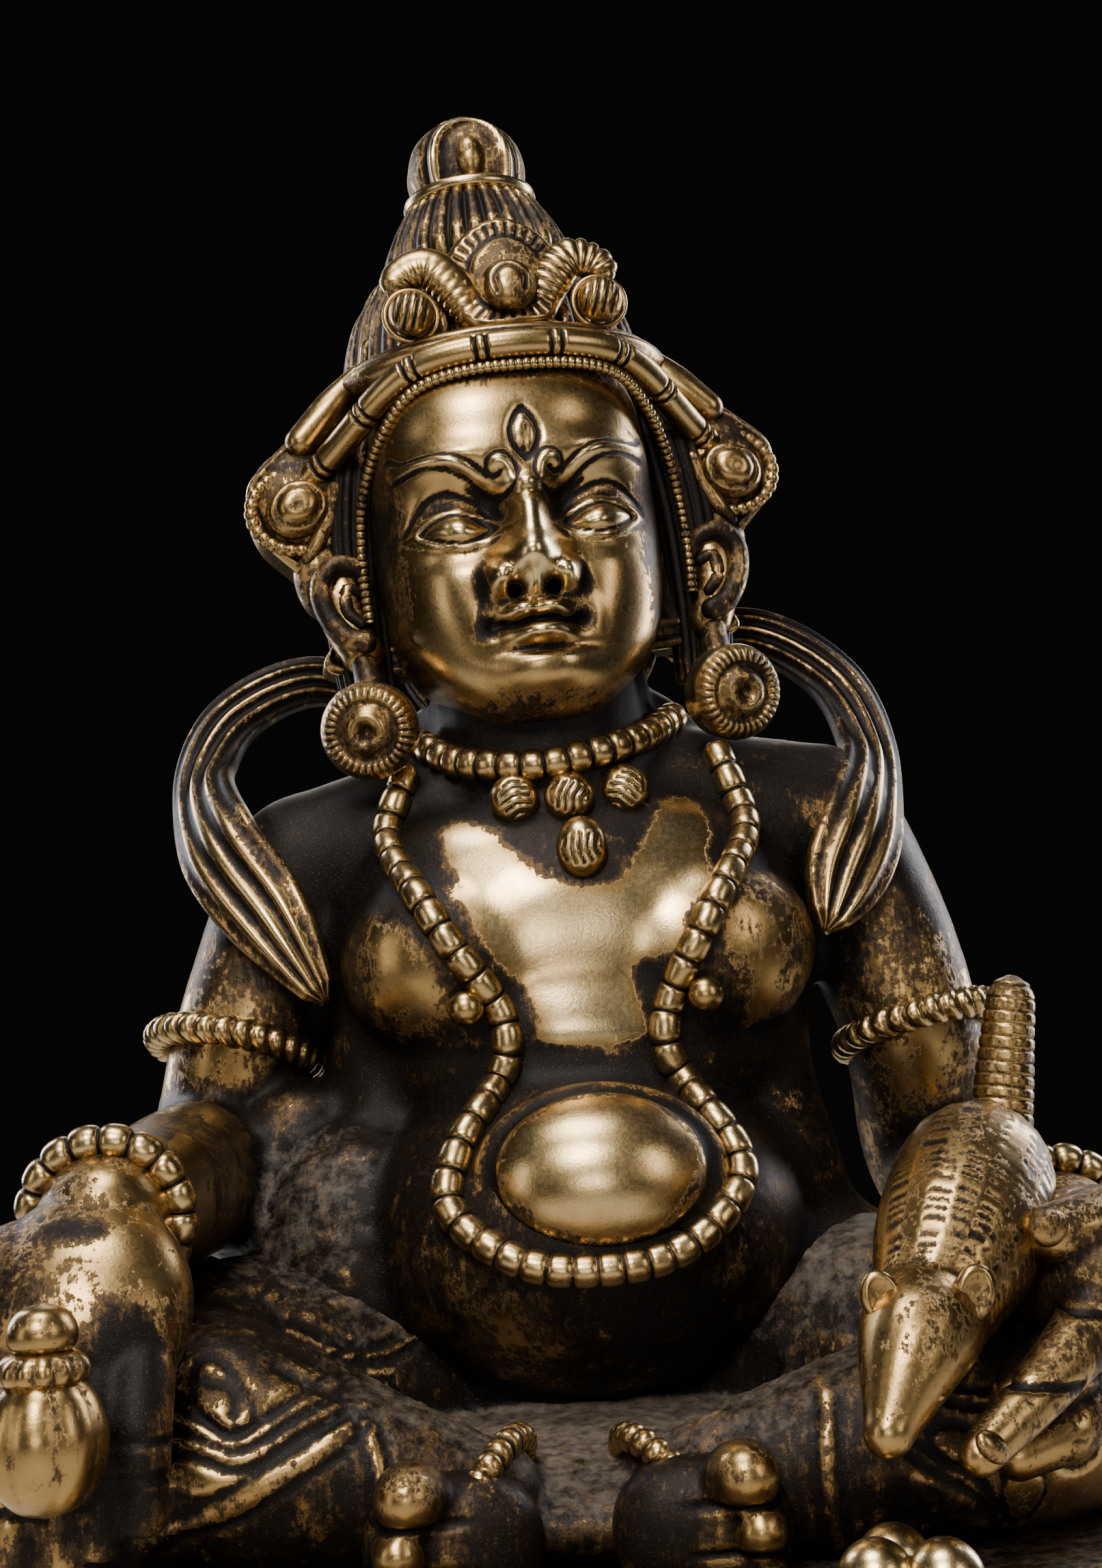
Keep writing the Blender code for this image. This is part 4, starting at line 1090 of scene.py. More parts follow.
def earring(centre, turn, radius, thick, strokes):
    """A disc as rings of radius: a dome with a dent, a sunk ring, then a rim of radial strokes,
    facing -y before its turn."""
    reach = np.linspace(1, 0.004, 50)[:, None]
    angle = circle(170)[None, :]
    out = thick * (1 - reach**2) ** 0.5 * 0.55
    out = out + 1.5 * np.exp(-((reach / 0.46) ** 6)) - 1.9 * np.exp(-(((reach * radius) / 1.4) ** 2))
    out = out + 0.9 * stripe(reach, 0.78, 0.15, 4)
    out = out - 0.55 * (1 - np.abs(np.cos(strokes * angle / 2))) ** 2 * stripe(reach, 0.8, 0.16, 4)
    fore = np.stack([radius * reach * np.cos(angle), -out + 0 * angle, radius * reach * np.sin(angle)], -1)
    rear = fore * (0.96, 0, 0.96) + (0, thick * 0.8, 0)
    points, faces = knit(np.concatenate([rear[-2:-1], rear[:1], fore]))
    return points @ turn.T + centre, faces


rings = []
for side in (-1, 1):
    spot = on_head((28.2 * side, -14, 2.8))
    rings.append(earring(spot, HEAD @ turned(12, 0, 14 * side), 7.4, 4.6, 34))
whole = together(rings)
piece("earrings", whole, polish_of(*whole, 0.47, 0.25))

# %% [markdown]
# ## The crown
# A notched rim marks the hairline, above it runs the tube of the circlet, and on it stand a middle
# leaf, two curled leaves and two round bosses. The side leaves flare from behind the ears as one thin
# plate. The rim and the circlet are sections carried along lines; leaves are domes over an outline.

# %% Notched hairline rim and circlet


def arch(knots):
    """A line over the brow from knots of one half (x, y, h), the last at x = 0, and their mirror."""
    half = np.asarray(knots, float)
    return np.vstack([half * (-1, 1, 1), half[::-1][1:]])


RIM = [(25.2, -9.5, 20), (25.4, -9.6, 29), (24.6, -10.8, 37.5), (22.6, -14.4, 43.5), (20.2, -18.2, 47.5),
       (17, -21.6, 50.8), (13, -24.2, 52.4), (7, -26.2, 53), (0, -27.0, 53)]
line = smooth_line(arch(RIM), 720)
along = np.linspace(0, length_of(line), len(line))
NOTCH_MM = 1.15
swell = 0.9 - 0.24 * notches(along, NOTCH_MM, 0.16)
rim = sweep(line, (0, 0, 1), *round_section(swell, 12))
whole = headed(rim, -0.6)
piece("hairline_rim", whole, polish_of(*whole, 0.26) + 0.12 * np.clip((whole[0][:, 2] - 158) / 6, -1, 1))

CIRCLET = [(33.0, -5.6, 43.6), (29.4, -8.8, 46), (25.2, -13.6, 49), (20.8, -18.4, 52.4), (16.3, -22, 54.8),
           (11.7, -24.4, 55.8), (6, -26, 56.2), (0, -26.6, 56.3)]
line = smooth_line(arch(CIRCLET), 480)
along = np.linspace(0, length_of(line), len(line)) - length_of(line) / 2
swell = np.full(len(line), 2.25)
ring_cut = np.zeros(len(line))
for middle in (-38.5, -27, -16.5, -5.5, 5.5, 16.5, 27, 38.5):
    for shift in (-0.8, 0.8):
        ring_cut += stripe(along, middle + shift, 0.32)
swell -= 0.45 * ring_cut
CELLS = 16
whole = headed(sweep(line, (0, 0, 1), *round_section(swell, CELLS)), -0.3)
ring_shade = extended(np.repeat(ring_cut, CELLS), whole[0])
piece("circlet", whole, polish_of(*whole, 0.42, 0.45, 1.0) - 0.4 * ring_shade)

# %% Leaves over a drawn outline


def leaf(outline, centre, front, back, shape, rings=26, count=180):
    """Rings from the outline to its centre. d is how far a ring lies inside the edge, u its place
    round it: front y = front(x, h) - shape(d, u), back y = back, and the two meet at the edge."""
    edge = smooth_line(outline, count + 1, closed=True)[:-1]
    inward = np.asarray(centre) - edge
    size = np.linalg.norm(inward, axis=1)
    steps = np.linspace(0, 1, rings) ** 1.5 * 0.97
    flat = edge[None] + inward[None] * steps[:, None, None]
    d = steps[:, None] * size[None, :]
    u = np.linspace(0, length_of(edge), count)[None, :]
    fore = front(flat[..., 0], flat[..., 1]) - shape(d, u + 0 * d)
    face = np.stack([flat[..., 0], fore, flat[..., 1]], -1)
    rear = np.stack([edge[:, 0], np.full(count, back), edge[:, 1]], -1)
    inner = np.stack([flat[-1, :, 0], np.full(count, back), flat[-1, :, 1]], -1)
    return knit(np.concatenate([face[::-1], rear[None], inner[None]]))


def fan(d, u, pitch=2.0, depth=0.45, start=0.8, end=3.4):
    """Short strokes square to the edge, one every pitch, between two distances from it."""
    return depth * notches(u, pitch, 0.17) * np.clip((d - start) * 3, 0, 1) * np.clip((end - d) * 2, 0, 1)


def leaf_form(dome, rim):
    """A rolled rim, strokes inside it, one groove, then a dome of the given height."""

    def shape(d, u):
        out = rim * np.sqrt(np.clip(d / 0.8, 0, 1)) + dome * np.clip((d - 3.4) / 4, 0, 1) ** 0.6
        out -= fan(d, u) + 0.5 * stripe(d, 3.7, 0.35) * np.clip(d, 0, 1)
        return out

    return shape


MIDDLE_LEAF = [(-5, 62), (-8, 67), (-8.6, 71.5), (-7.4, 76), (-4.4, 79.2), (-0.5, 81.2), (3.6, 81), (7.8, 78),
               (10.2, 73.5), (10, 69), (8, 65), (5.5, 62)]
HOOK = [(3.8, -17.0, 62.5, 2.6), (7.5, -16.6, 69.5, 3.4), (11.2, -16.0, 73.2, 3.3), (15.4, -15.6, 72, 2.9),
        (16.8, -16.2, 68.6, 2.2)]
HOOK_ROWS = 84


def middle_front(x, h):
    """The middle leaf leans back to its tip and is a little hollow from side to side."""
    return -18.4 + 0.36 * (h - 68) + 0.03 * (x - 1) ** 2


def hooped(middle, wide, tall, knots, rows, thick, notch=0.0):
    """A ring round a boss, facing the viewer: an oval line, its section notched every 1.5 mm."""
    a = circle(knots)
    hoop = middle + np.stack([wide * np.cos(a), 0 * a, tall * np.sin(a)], -1)
    hoop = smooth_line(hoop, rows, closed=True)[:-1]
    along = np.linspace(0, length_of(hoop), len(hoop))
    swell = thick - notch * notches(along, 1.5, 0.18)
    return sweep(hoop, (0, -1, 0), *round_section(swell, 10), loop=True)


parts = [leaf(MIDDLE_LEAF, (1, 69), middle_front, -9.0, leaf_form(0.8, 0.9))]
boss_points, boss_faces = ball((0.4, -20.9, 67.6), (4.2, 2.9, 4.4), turned(-16), cells=30)
ARCH_LINE = [(-1.7, 66), (-1.9, 68.6), (0.4, 70.4), (2.7, 68.6), (2.5, 66)]
cut = grooves(boss_points[:, 0], boss_points[:, 2], [ARCH_LINE], 0.35) * (boss_points[:, 1] < -20.4)
parts.append((boss_points + np.outer(cut, (0, 0.5, 0)), boss_faces))
for side in (-1, 1):
    line = smooth_line(np.array(HOOK) * (side, 1, 1, 1), HOOK_ROWS)
    along = np.linspace(0, length_of(line), HOOK_ROWS)
    angle = circle(28)
    strokes = 0.08 * notches(along, 1.5, 0.18)[:, None] * (1 + np.cos(angle - side * 0.6))
    ends = np.clip(np.minimum(along / 1.5, (along[-1] - along) / 2.5 + 0.1), 0.1, 1) ** 0.5
    thick = (line[:, 3] * ends)[:, None] * (1 - strokes)
    parts.append(sweep(line[:, :3], (0, -1, 0.2), thick * np.cos(angle), thick * 0.72 * np.sin(angle)))
    boss, skin = ball((14.6 * side, -18.6, 65.2), (3.5, 3.0, 3.5), cells=28)
    starts = 14.6 * side + 1.4 * np.arange(4)
    cut = sum(grooves(boss[:, 0], boss[:, 2], [[(x - 3, 62.6), (x - 1.2, 68)]], 0.26) for x in starts)
    parts.append((boss + np.outer(cut * (boss[:, 1] < -18), (0, 0.4, 0)), skin))
    parts.append(hooped((14.6 * side, -17.4, 65.2), 4.0, 4.0, knots=11, rows=90, thick=0.5))
whole = headed(together(parts))
piece("front_leaves", whole, polish_of(*whole, 0.44, 0.25, 0.8))

# %% The flaring plate with its side leaves
SIDE = [(17, 68), (22.5, 62.5), (29.4, 55.6), (37.5, 48.5), (41.8, 43.2), (40.5, 35.5), (34.5, 28.5),
        (31, 20), (28, 13)]
outline = SIDE + [(-x, h) for x, h in reversed(SIDE)]


def plate_front(x, h):
    """The plate leans forward to its tips."""
    return -4.0 - 0.05 * np.clip(np.abs(x) - 24, 0, 20) ** 1.35


def plate_shape(d, u):
    """A rolled edge, a hatched border, a groove and a low second roll."""
    out = 1.1 * np.sqrt(np.clip(d / 0.9, 0, 1)) - 0.8 * stripe(d, 2.1, 0.4)
    return out - fan(d, u, 2.6, 0.18, 2.4, 4.4) + 0.5 * stripe(d, 5.2, 0.5) - 0.4 * np.clip(d - 6, 0, 1)


parts = [leaf(outline, (0, 40), plate_front, 2.0, plate_shape, rings=50, count=360)]
bosses = []
for side in (-1, 1):
    middle = np.array((34.2 * side, -7.4, 39.4))
    lean = turned(0, 24 * side)
    boss, skin = ball(middle, (5.2, 4.4, 4.4), lean, cells=30)
    reach = np.linalg.norm(((boss - middle) @ lean)[:, [0, 2]] / (5.4, 4.6), axis=1)
    pupil = 0.6 * stripe(reach, 0.66, 0.09) + 0.4 * stripe(reach, 0, 0.2)
    boss[:, 1] += pupil * (boss[:, 1] < -7.4)
    bosses.append((boss, skin))
    parts.append(ball((33.2 * side, -4.4, 41.5), (8.2, 4.2, 8.6), turned(0, 20 * side), cells=26))
    parts.append(ball((31.4 * side, -4.2, 29.5), (4.6, 3.4, 7.5), cells=22))
    parts.append(hooped((34.2 * side, -6.6, 39.4), 7.2, 6.2, knots=13, rows=200, thick=1.15, notch=0.22))
    for line in (
        [(22.6, -6.4, 60.2, 1.8), (27.6, -6.4, 55.2, 2.7), (32.6, -6.4, 50.4, 2.4)],
        [(33.6, -6.8, 31.8, 1.0), (31.6, -7.2, 34.4, 1.4), (29.4, -7.6, 38.4, 1.4), (28.4, -8.4, 42.0, 1.2)],
    ):
        parts.append(limb(np.array(line) * (side, 1, 1, 1), cells=14, step=0.5))
points, faces = headed(together([*parts, *bosses]), -0.4)
plate_polish = polish_of(points, faces, 0.34, 0.6, 1.4)
plate_polish -= 0.3 * np.clip(2 * normals_of(points, faces)[:, 1], 0, 1)
plate_polish[-sum(len(shell[0]) for shell in bosses) :] += 0.14
piece("crown_plate", (points, faces), plate_polish)

# %% [markdown]
# ## Hair
# The hair is drawn up in two tiers of straight strands under a jewel bud. A strand is a rounded ridge:
# the radius of each tier is its profile times a row of half waves round the head.

# %% Hair tiers and the hair behind the ears


def strands(table, middle, count, depth, cells, rows):
    """radius = profile(h) - depth (1 - |cos(n a / 2)|)^1.5, with n strands round the tier."""
    height = np.linspace(table[0][0], table[-1][0], rows)
    radius = np.maximum(flow(height, table), 0.2)[:, None]
    angle = circle(cells)[None, :]
    valley = (1 - np.abs(np.cos(count * angle / 2))) ** 1.5
    wide = radius - depth * valley * np.clip(radius / 8, 0, 1)
    grid = np.stack([wide * np.cos(angle), wide * np.sin(angle), height[:, None] + 0 * angle], -1)
    return knit(grid + middle)


LOW_TIER = [(52, 23), (56, 24.6), (63, 24.6), (71, 22.6), (75, 20.2), (77.6, 18.6), (79.0, 15.5), (79.6, 9)]
HIGH_TIER = [(75, 14.2), (79, 15.4), (82, 15.6), (86, 14.0), (89.5, 12.0), (91.6, 10.4), (92.6, 7)]
low = strands(LOW_TIER, (0, 7, 0), count=44, depth=1.5, cells=440, rows=40)
high = strands(HIGH_TIER, (0, 6, 0), count=30, depth=1.25, cells=300, rows=30)
ledge_points, ledge_faces = ball((0, -1, 58.4), (27, 23.4, 6.4), cells=64)
step_cut = 0.7 * stripe(ledge_points[:, 2], 60.2, 0.4)
ledge_points = ledge_points * np.stack([1 - step_cut / 25, 1 - step_cut / 22, 1 + 0 * step_cut], -1)
whole = headed(together([low, high, (ledge_points, ledge_faces)]))
hair_polish = polish_of(*whole, 0.28, 0.2, 1.0)
hair_polish[-len(ledge_points) :] += 0.2 * np.clip(-ledge_points[:, 1] / 10 - 0.8, 0, 1)
piece("hair_tiers", whole, hair_polish)

FALL = [(21, -4, 54, 2.0), (24.6, -4.4, 47, 5.4), (26.8, -3.2, 34, 5.8), (27.0, -2.6, 20, 5.2),
        (26.4, -2, 7, 4.6)]
BACK_HAIR = [(4, 14), (12, 20), (26, 23.6), (40, 25), (52, 24.4), (58, 22)]
falls = []
for side in (-1, 1):
    line = smooth_line(np.array(FALL) * (side, 1, 1, 1), 44)
    angle = circle(126)
    radius = line[:, 3:] - 0.6 * (1 - np.abs(np.cos(9 * angle))) ** 1.5
    falls.append(sweep(line[:, :3], (0, -1, 0.1), radius * np.cos(angle), radius * np.sin(angle)))
back_hair = strands(BACK_HAIR, (0, 5, 0), count=40, depth=1.3, cells=280, rows=36)
whole = headed(together([*falls, back_hair]))
piece("hair_behind", whole, polish_of(*whole, 0.1, 0.3))

# %% The jewel bud


BUD = [(90.6, 7.4), (92, 9.0), (94, 9.5), (98, 9.9), (102, 8.6), (105, 5.6), (107.2, 1.8), (107.8, 0.2)]


def bud():
    """A lobed bud with an arched niche in front, and a small boss standing in the niche."""
    points, faces = turned_form((0, 6, 0), BUD, cells=120, rows=84)
    x, y, h = points.T
    q = np.sqrt((x / 5.0) ** 2 + (np.clip(h - 96.5, -20, 9) / np.where(h > 96.5, 6.6, 8.0)) ** 2)
    fore = y < 3
    sunk = 1.9 * np.clip(1.15 - q, 0, 1) ** 0.5 - 0.8 * stripe(q, 1.2, 0.12) + 0.5 * stripe(q, 1.5, 0.08)
    lobes = 0.7 * (1 - np.abs(np.cos(3 * np.arctan2(y - 6, x) + 1.57))) ** 3
    sunk = np.where(fore, sunk, lobes)
    from_axis = np.stack([x, y - 6, 0 * h], -1)
    points = points - from_axis / np.maximum(np.hypot(x, y - 6), 0.5)[:, None] * sunk[:, None]
    boss = ball((0, -1.4, 97.2), (2.5, 2.4, 3.9), cells=24)
    collar = [(9.9 * math.cos(a), 6 + 9.9 * math.sin(a), 92.4) for a in circle(12)]
    collar = smooth_line(collar, 120, closed=True)[:-1]
    collar = sweep(collar, (0, 0, 1), *round_section(np.full(len(collar), 1.1), 10), loop=True)
    return together([(points, faces), boss, collar])


whole = headed(bud())
piece("jewel_bud", whole, polish_of(*whole, 0.42, 0.2))

# %% [markdown]
# ## Strings of beads, drops and rings
# Every string was a wax thread rolled over a notched board, so its beads touch and stand on a common
# thread. The radius along the line is a row of domes, R (n + (1 - n) sqrt(1 - |u|^p)), with u from -1
# to 1 over each bead, n the neck's share of the radius and p the roundness. The beads of the long string
# are shorter where it lies under the belly.

# %% Beaded strings


def beads(line, out, radius, pitch, roundness=6.0, neck=0.6, cells=14, loop=False):
    """A bead string along a line, and how near each point is to a neck; pitch may vary along it."""
    size = np.linalg.norm(np.diff(line, axis=0), axis=1)
    spacing = np.broadcast_to(pitch, len(line))
    count = np.concatenate([[0.0], np.cumsum(size / spacing[1:])])
    closing = np.linalg.norm(line[0] - line[-1]) / spacing[0] if loop else 0
    total = max(1, round(count[-1] + closing))
    turns = total * (1 - 1 / len(line)) if loop else total
    u = 2 * ((count / count[-1] * turns) % 1.0) - 1
    swell = radius * (neck + (1 - neck) * np.sqrt(np.clip(1 - np.abs(u) ** roundness, 0, 1)))
    shell = sweep(line, out, *round_section(swell, cells), loop)
    return shell, extended(np.repeat(np.abs(u) ** 7, cells), shell[0])


def finer(line, out, step):
    """The line and its outward vectors at even, finer steps."""
    both = smooth_line(np.hstack([line[::3], out[::3]]), int(length_of(line) / step))
    return both[:, :3], both[:, 3:]


string_fine, string_up = finer(string_line, string_out, 0.3)
under_belly = bump(string_fine[:, 0], string_fine[:, 2], (0, 38), (18, 10), 2)
string, necks = beads(string_fine, string_up, 2.3, 4.2 - 0.9 * under_belly, 3.6, 0.7, cells=20)
piece("long_string", string, polish_of(*string, 0.5, 0.4, 0.6) - 0.45 * necks)
choker_fine, choker_up = finer(choker_line, choker_out, 0.25)
choker, necks = beads(choker_fine, choker_up, 2.5, 3.3, 3.0, 0.56, cells=20)
piece("choker", choker, polish_of(*choker, 0.46, 0.4, 0.6) - 0.45 * necks)

# %% Engraved drops
DROPS = [(-5.6, 100.7, 15), (2.2, 100.6, 70), (10.4, 101.3, -30), (3.4, 92.4, 95)]
parts = []
for drop_x, drop_h, lean in DROPS:
    start = Vector((drop_x, -150.0, drop_h))
    hit, normal, _face, _distance = torso_skin.ray_cast(start, Vector((0.0, 1.0, 0.0)))
    middle = np.array(hit + normal * 0.8)
    points, faces = ball(middle, (3.7, 3.7, 3.8 if drop_h > 95 else 4.6), cells=34)
    c, s = math.cos(math.radians(lean)), math.sin(math.radians(lean))
    local = [[(-2.1 + 0.2 * n * n, 1.2 * n), (0, 1.2 * n + 0.5), (2.1 - 0.2 * n * n, 1.2 * n)]
             for n in (-2, -1, 0, 1, 2)]
    marks = [[(drop_x + c * a - s * b, drop_h + s * a + c * b) for a, b in arc] for arc in local]
    cut = grooves(points[:, 0], points[:, 2], marks, 0.28) * (points[:, 1] < middle[1] - 1)
    parts.append((points + np.outer(cut, (0, 0.45, 0)), faces))
whole = together(parts)
piece("choker_drops", whole, polish_of(*whole, 0.6))

# %% Rings on the arms and ankles


def ring_line(centre, axis, radius, step):
    """A circle square to an axis, with its outward vectors."""
    axis = np.asarray(axis, float) / np.linalg.norm(axis)
    first = np.cross(axis, (0.0, 0.0, 1.0) if abs(axis[2]) < 0.9 else (1.0, 0.0, 0.0))
    first /= np.linalg.norm(first)
    second = np.cross(axis, first)
    angle = circle(int(math.tau * radius / step))[:, None]
    out = np.cos(angle) * first + np.sin(angle) * second
    return np.asarray(centre) + radius * out, out


def notched_ring(centre, axis, radius, thick, pitch, slant):
    """A ring cut with notches that run slanting round its section."""
    line, out = ring_line(centre, axis, radius, 0.28)
    turns = round(math.tau * radius / pitch)
    a = circle(len(line))[:, None]
    b = circle(16)[None, :]
    cut = notches(turns * a / math.tau + slant * np.sin(b) * 0.5, 1.0, 0.17)
    wide = thick * (1.06 - 0.3 * cut)
    return sweep(line, out, wide * np.cos(b), wide * np.sin(b), loop=True)


def beaded_ring(centre, axis, radius, thick, pitch):
    """A ring of nearly round beads that touch."""
    line, out = ring_line(centre, axis, radius, 0.26)
    return beads(line, out, thick, pitch, 2.6, 0.55, cells=16, loop=True)


rings = [
    notched_ring((-50.4, -2, 67), (0.22, 0.26, 1.0), 11.6, 2.3, 2.5, 1.2),
    notched_ring((54.5, -2, 64.5), (-0.2, 0.2, 1.0), 11.4, 2.3, 2.5, 1.2),
    notched_ring((-15, -57, 9), (0.85, -0.3, -0.5), 8.8, 1.8, 2.2, 0.4),
    notched_ring((8, -55, 9), (-0.75, -0.3, -0.6), 8.2, 1.8, 2.2, 0.4),
]
whole = together(rings)
piece("armlets_and_anklets", whole, polish_of(*whole, 0.36, 0.35, 0.8))
bracelets = [
    beaded_ring((-60.5, -55, 46.5), (0.05, 1.0, 0.2), 9.4, 2.3, 3.8),
    beaded_ring((62, -46, 37), (-0.05, 1.0, 0.0), 8.6, 2.1, 3.4),
]
whole = together([shell for shell, _necks in bracelets])
necks = np.concatenate([necks for _shell, necks in bracelets])
piece("bracelets", whole, polish_of(*whole, 0.46, 0.35, 0.8) - 0.45 * necks)

# %% [markdown]
# ## Scarves
# The scarves are ribbons of sheet wax with combed grooves. A flat, swollen section is carried along
# the billowing line, turned to face the viewer, and its front is combed into four rounded folds.

# %% The two scarves
SCARF_LEFT = [(-24, 17, 124), (-38, 15, 127), (-50, 12, 121), (-54.5, 6, 110), (-51, -7, 98), (-43, -13, 86),
              (-35, -16, 73)]
SCARF_RIGHT = [(20, 17, 131), (36, 14.5, 131), (48, 11, 122), (51.5, 4, 109), (48, -8, 97), (43, -13, 87),
               (39, -16, 79)]
FACING = [(0, -1, 0), (0, -1, 0.1), (0.2, -1, 0.1), (0.4, -1, 0.0), (0.5, -1, 0.2), (0.4, -1, 0.3),
          (0.3, -1, 0.3)]
WIDTHS = [7, 8.5, 9.5, 11, 14, 13, 4]
THICKNESS = 5.0
COMBED = 4
SCARF_ROWS = 160


def scarf(knots, side):
    """across = w/2 |cos b|^0.9 and out = t/2 |sin b|^0.75, each with its sign, and the front is raised
    by cos(2 pi n across / w), for n folds."""
    rows = [(*point, width, side * a, b, c) for point, width, (a, b, c) in zip(knots, WIDTHS, FACING)]
    line = smooth_line(rows, SCARF_ROWS)
    b = circle(64)[None, :]
    wide = line[:, 3:4] / 2
    across = wide * np.sign(np.cos(b)) * np.abs(np.cos(b)) ** 0.9
    share = across / wide
    out = THICKNESS / 2 * np.sign(np.sin(b)) * np.abs(np.sin(b)) ** 0.75
    folds = 0.55 * np.cos(share * math.pi * COMBED) * (np.sin(b) > 0) * np.clip(1.25 - np.abs(share), 0, 1)
    row = np.arange(SCARF_ROWS)
    ends = np.clip(np.minimum(row, row[::-1]) / 4, 0.15, 1)[:, None] ** 0.5
    return sweep(line[:, :3], line[:, 4:], across * ends, (out + folds) * ends)


whole = together([scarf(SCARF_LEFT, -1), scarf(SCARF_RIGHT, 1)])
low_ends = np.clip((100 - whole[0][:, 2]) / 12, -1, 1)
piece("scarves", whole, polish_of(*whole, 0.36, 0.3, 1.0) + 0.12 * low_ends)

# %% [markdown]
# ## The lotus base
# The photograph ends above the base, so it is a plain one in keeping: a foot, a ring of standing
# petals round the waist, and a rim under the seat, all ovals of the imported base's size.

# %% Base
BASE_WIDE, BASE_DEEP = 178.0, 136.0
PETALS, PETAL_OUT = 20, 5.5
# The profile, from the floor up: height and how far it stands out of the base's oval
PROFILE = [(0.0, -1.2), (0.3, -0.4), (1.2, 0.0), (3.2, 0.0), (4.2, -0.6), (4.7, -2.6), (5.2, -5.6),
           (6.0, -6.5), (15.4, -6.5), (16.4, -5.6), (16.9, -3.6), (17.6, -2.7), (18.6, -2.5), (20.8, -2.5),
           (21.7, -2.9), (22.0, -3.9)]


def lotus_base(columns=360):
    """x = cos a (W/2 + o), y = sin a (D/2 + o), where o is the profile plus the petals' swell,
    sqrt(1 - u^2) over each petal, shaped by its own tip line and a midrib."""
    height, inset = np.hsplit(smooth_line(PROFILE, 84), 2)
    a = circle(columns)[None, :]
    u = 2 * ((a / math.tau * PETALS) % 1.0) - 1
    tip = 4.6 + 12.6 * np.sqrt(np.clip(1 - np.abs(u) ** 2.2, 0, 1))
    body = np.clip((height - 4.6) / 3.0, 0, 1) ** 0.5 * np.clip((tip - height) / 2.4, 0, 1) ** 0.5
    petal = PETAL_OUT * body * np.sqrt(np.clip(1 - u**2, 0, 1))
    midrib = 0.35 * stripe(u, 0, 0.07) * body
    border = 0.3 * stripe(tip - height, 1.8, 0.35) * (body > 0.2)
    out = inset + petal + (midrib - border)
    wide, deep = BASE_WIDE / 2 + out, BASE_DEEP / 2 + out
    grid = np.stack([np.cos(a) * wide, np.sin(a) * deep, height + 0 * a], -1)
    grid = grid - (0.0, SPINE_BEHIND_CENTRE, BASE_HEIGHT)
    rims = [grid[:1] * (s, s, 1) + (0, -SPINE_BEHIND_CENTRE * (1 - s), 0) for s in (0.3, 0.7)]
    tops = [grid[-1:] * (s, s, 1) + (0, -SPINE_BEHIND_CENTRE * (1 - s), 0) for s in (0.9, 0.75, 0.5, 0.25)]
    return knit(np.concatenate([*rims, grid, *tops]))


whole = lotus_base()
base_polish = polish_of(*whole, 0.4, 0.12, 0.8)
top_dust = 0.7 * (whole[0][:, 2] > -0.4)
piece("lotus_base", whole, base_polish, top_dust, BASE_BRONZE)
# %% [markdown]
# ## Stage, light and camera
# A pale round floor, a dim grey room, and eight soft boxes: the strongest high on the left, one
# overhead, two tall ones behind that draw the bright edges of scarves and crown, one at the back for
# the other views, and three weak ones low in front and at the sides. The camera looks a little up at
# the figure, from close by, as in the photograph.

# %% Floor
FLOOR_RADIUS = 320.0
turn = circle(96)
rings = np.array([[0.5, 0.0], [FLOOR_RADIUS, 0.0], [FLOOR_RADIUS, -3.0], [0.5, -3.0]])
disc = np.stack([rings[:, :1] * np.cos(turn), rings[:, :1] * np.sin(turn), rings[:, 1:] + 0 * turn], -1)
disc = disc - (0.0, SPINE_BEHIND_CENTRE, BASE_HEIGHT)
floor = bpy.data.objects.new("floor", mesh_of("floor", *knit(disc)))
bpy.context.scene.collection.objects.link(floor)
paper = bpy.data.materials.new("pale_paper_matt")
paper.use_nodes = True
tree = paper.node_tree
fibre = node(tree, "ShaderNodeTexNoise", Vector=node(tree, "ShaderNodeTexCoord", out="Object"), Scale=900.0)
tone = node(tree, "ShaderNodeValToRGB", stops=[(0.3, "#bebbb5"), (0.7, "#cbc8c2")], Fac=fibre)
tree.links.new(tone, tree.nodes["Principled BSDF"].inputs["Base Color"])
tree.nodes["Principled BSDF"].inputs["Roughness"].default_value = 0.9
floor.data.materials.append(paper)

# %% Room and soft boxes
room = bpy.data.worlds.new("room")
bpy.context.scene.world = room
room.use_nodes = True
room.node_tree.nodes["Background"].inputs["Color"].default_value = linear("#8a8680")
room.node_tree.nodes["Background"].inputs["Strength"].default_value = 0.012


def soft_box(name, place, aim, size, watts, colour):
    """A rectangular area light at a place in metres, turned to look at the aim."""
    light = bpy.data.lights.new(name, "AREA")
    light.shape = "RECTANGLE"
    light.size, light.size_y = size
    light.energy = watts
    light.color = linear(colour)[:3]
    lamp = bpy.data.objects.new(name, light)
    bpy.context.scene.collection.objects.link(lamp)
    lamp.location = place
    lamp.rotation_euler = (Vector(aim) - Vector(place)).to_track_quat("-Z", "Y").to_euler()


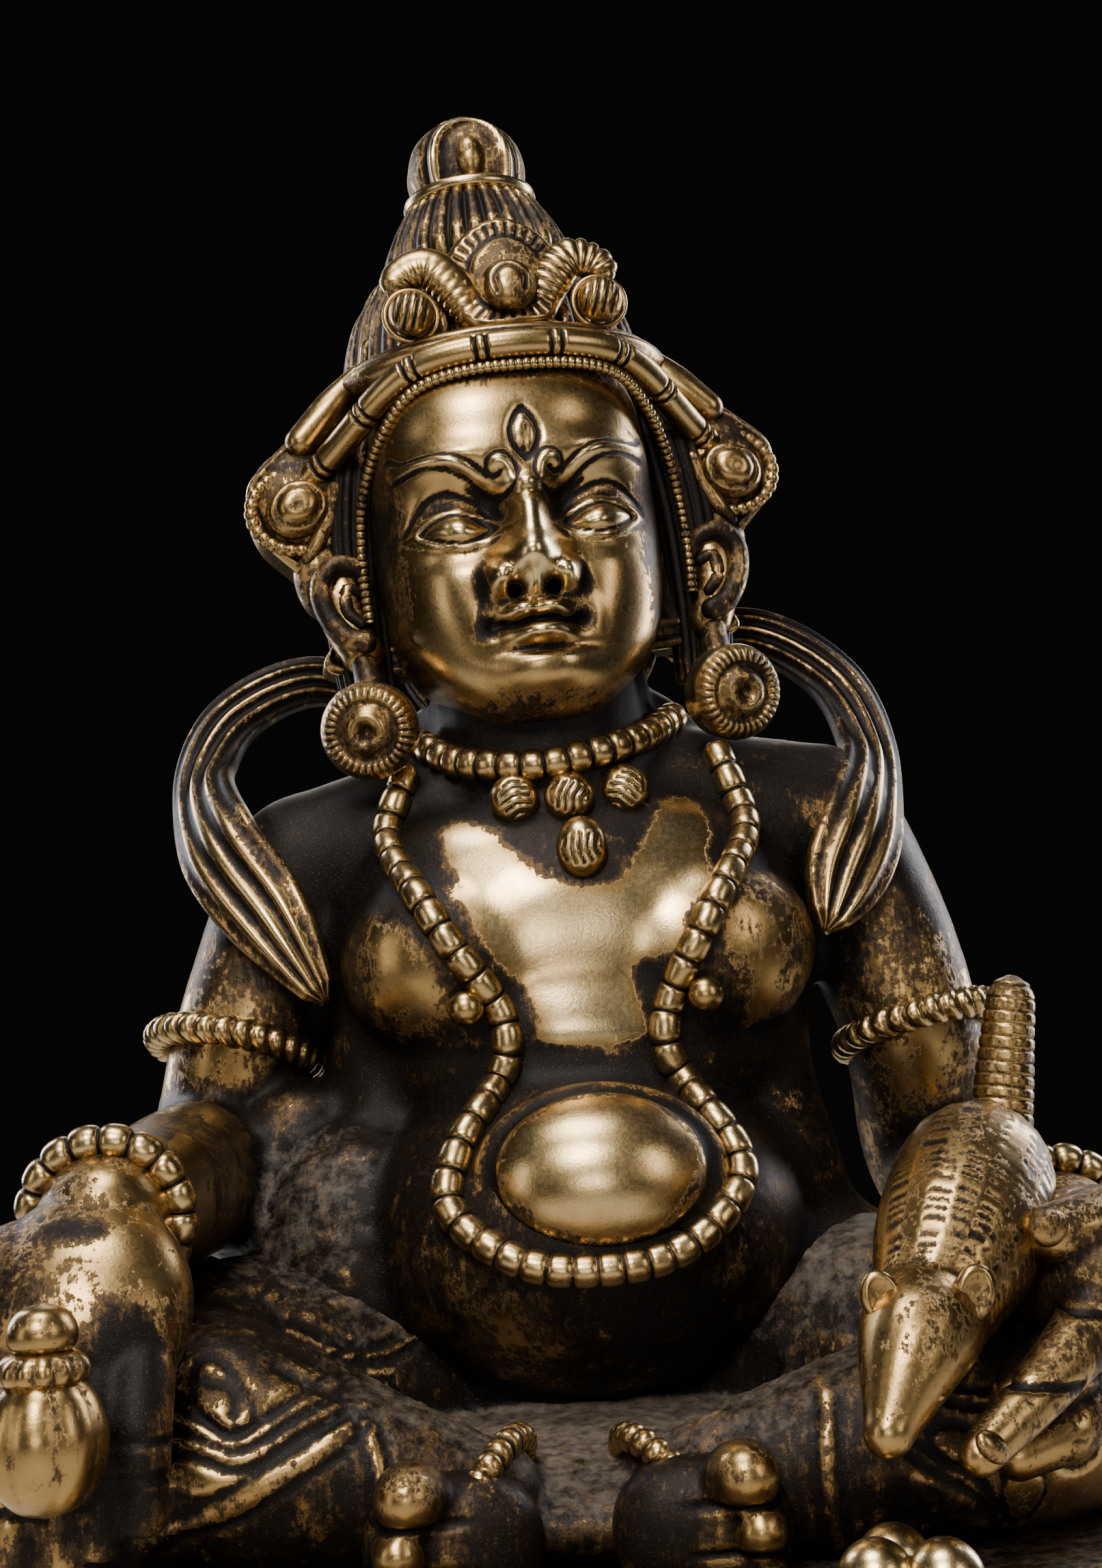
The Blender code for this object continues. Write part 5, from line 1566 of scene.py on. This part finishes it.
CHEST = (0.0, 0.0, 0.12)
soft_box("key_high_left", (-0.14, -0.56, 0.54), CHEST, (0.2, 0.2), 5.6, "#fff8ee")
soft_box("front_low", (-0.05, -0.62, 0.14), CHEST, (0.16, 0.1), 0.6, "#fff8ee")
soft_box("fill_low_left", (-0.6, -0.35, 0.2), CHEST, (0.08, 0.4), 0.5, "#fff4e6")
soft_box("front_right", (0.42, -0.45, 0.3), CHEST, (0.07, 0.3), 0.8, "#fff4e6")
soft_box("top", (-0.1, -0.2, 0.72), CHEST, (0.26, 0.2), 4.2, "#fffaf4")
soft_box("rim_left", (-0.46, 0.36, 0.3), CHEST, (0.08, 0.5), 3.2, "#f4f6ff")
soft_box("rim_right", (0.48, 0.3, 0.3), CHEST, (0.08, 0.5), 4.0, "#f4f6ff")
soft_box("back", (0.0, 0.7, 0.5), CHEST, (0.5, 0.4), 2.0, "#fff6ea")

# %% Camera
PICTURE = (1613, 2296)
FOCAL_PIXELS = 3000.0
SENSOR = 36.0
SWING, PITCH, ROLL = (math.radians(angle) for angle in (-2.0, 8.0, 3.5))
DISTANCE = 310.0
AIM = np.array((0.0, -12.0, 104.0))

ahead = np.array((-math.sin(SWING) * math.cos(PITCH), math.cos(SWING) * math.cos(PITCH), math.sin(PITCH)))
eye = at(AIM - ahead * DISTANCE)
right = np.cross(ahead, (0.0, 0.0, 1.0))
right /= np.linalg.norm(right)
up = np.cross(right, ahead)
across = math.cos(ROLL) * right - math.sin(ROLL) * up
upward = math.sin(ROLL) * right + math.cos(ROLL) * up
lens = bpy.data.cameras.new("camera")
lens.sensor_fit = "VERTICAL"
lens.sensor_height = SENSOR
lens.lens = FOCAL_PIXELS * SENSOR / PICTURE[1]
lens.clip_start = 0.01
camera = bpy.data.objects.new("camera", lens)
bpy.context.scene.collection.objects.link(camera)
placed = np.eye(4)
placed[:3, :3] = np.stack([across, upward, -ahead], -1)
placed[:3, 3] = eye
camera.matrix_world = Matrix(placed)
bpy.context.scene.camera = camera
print("camera at, m:", [round(value, 4) for value in eye])

# %% Last update of the scene
bpy.context.view_layer.update()
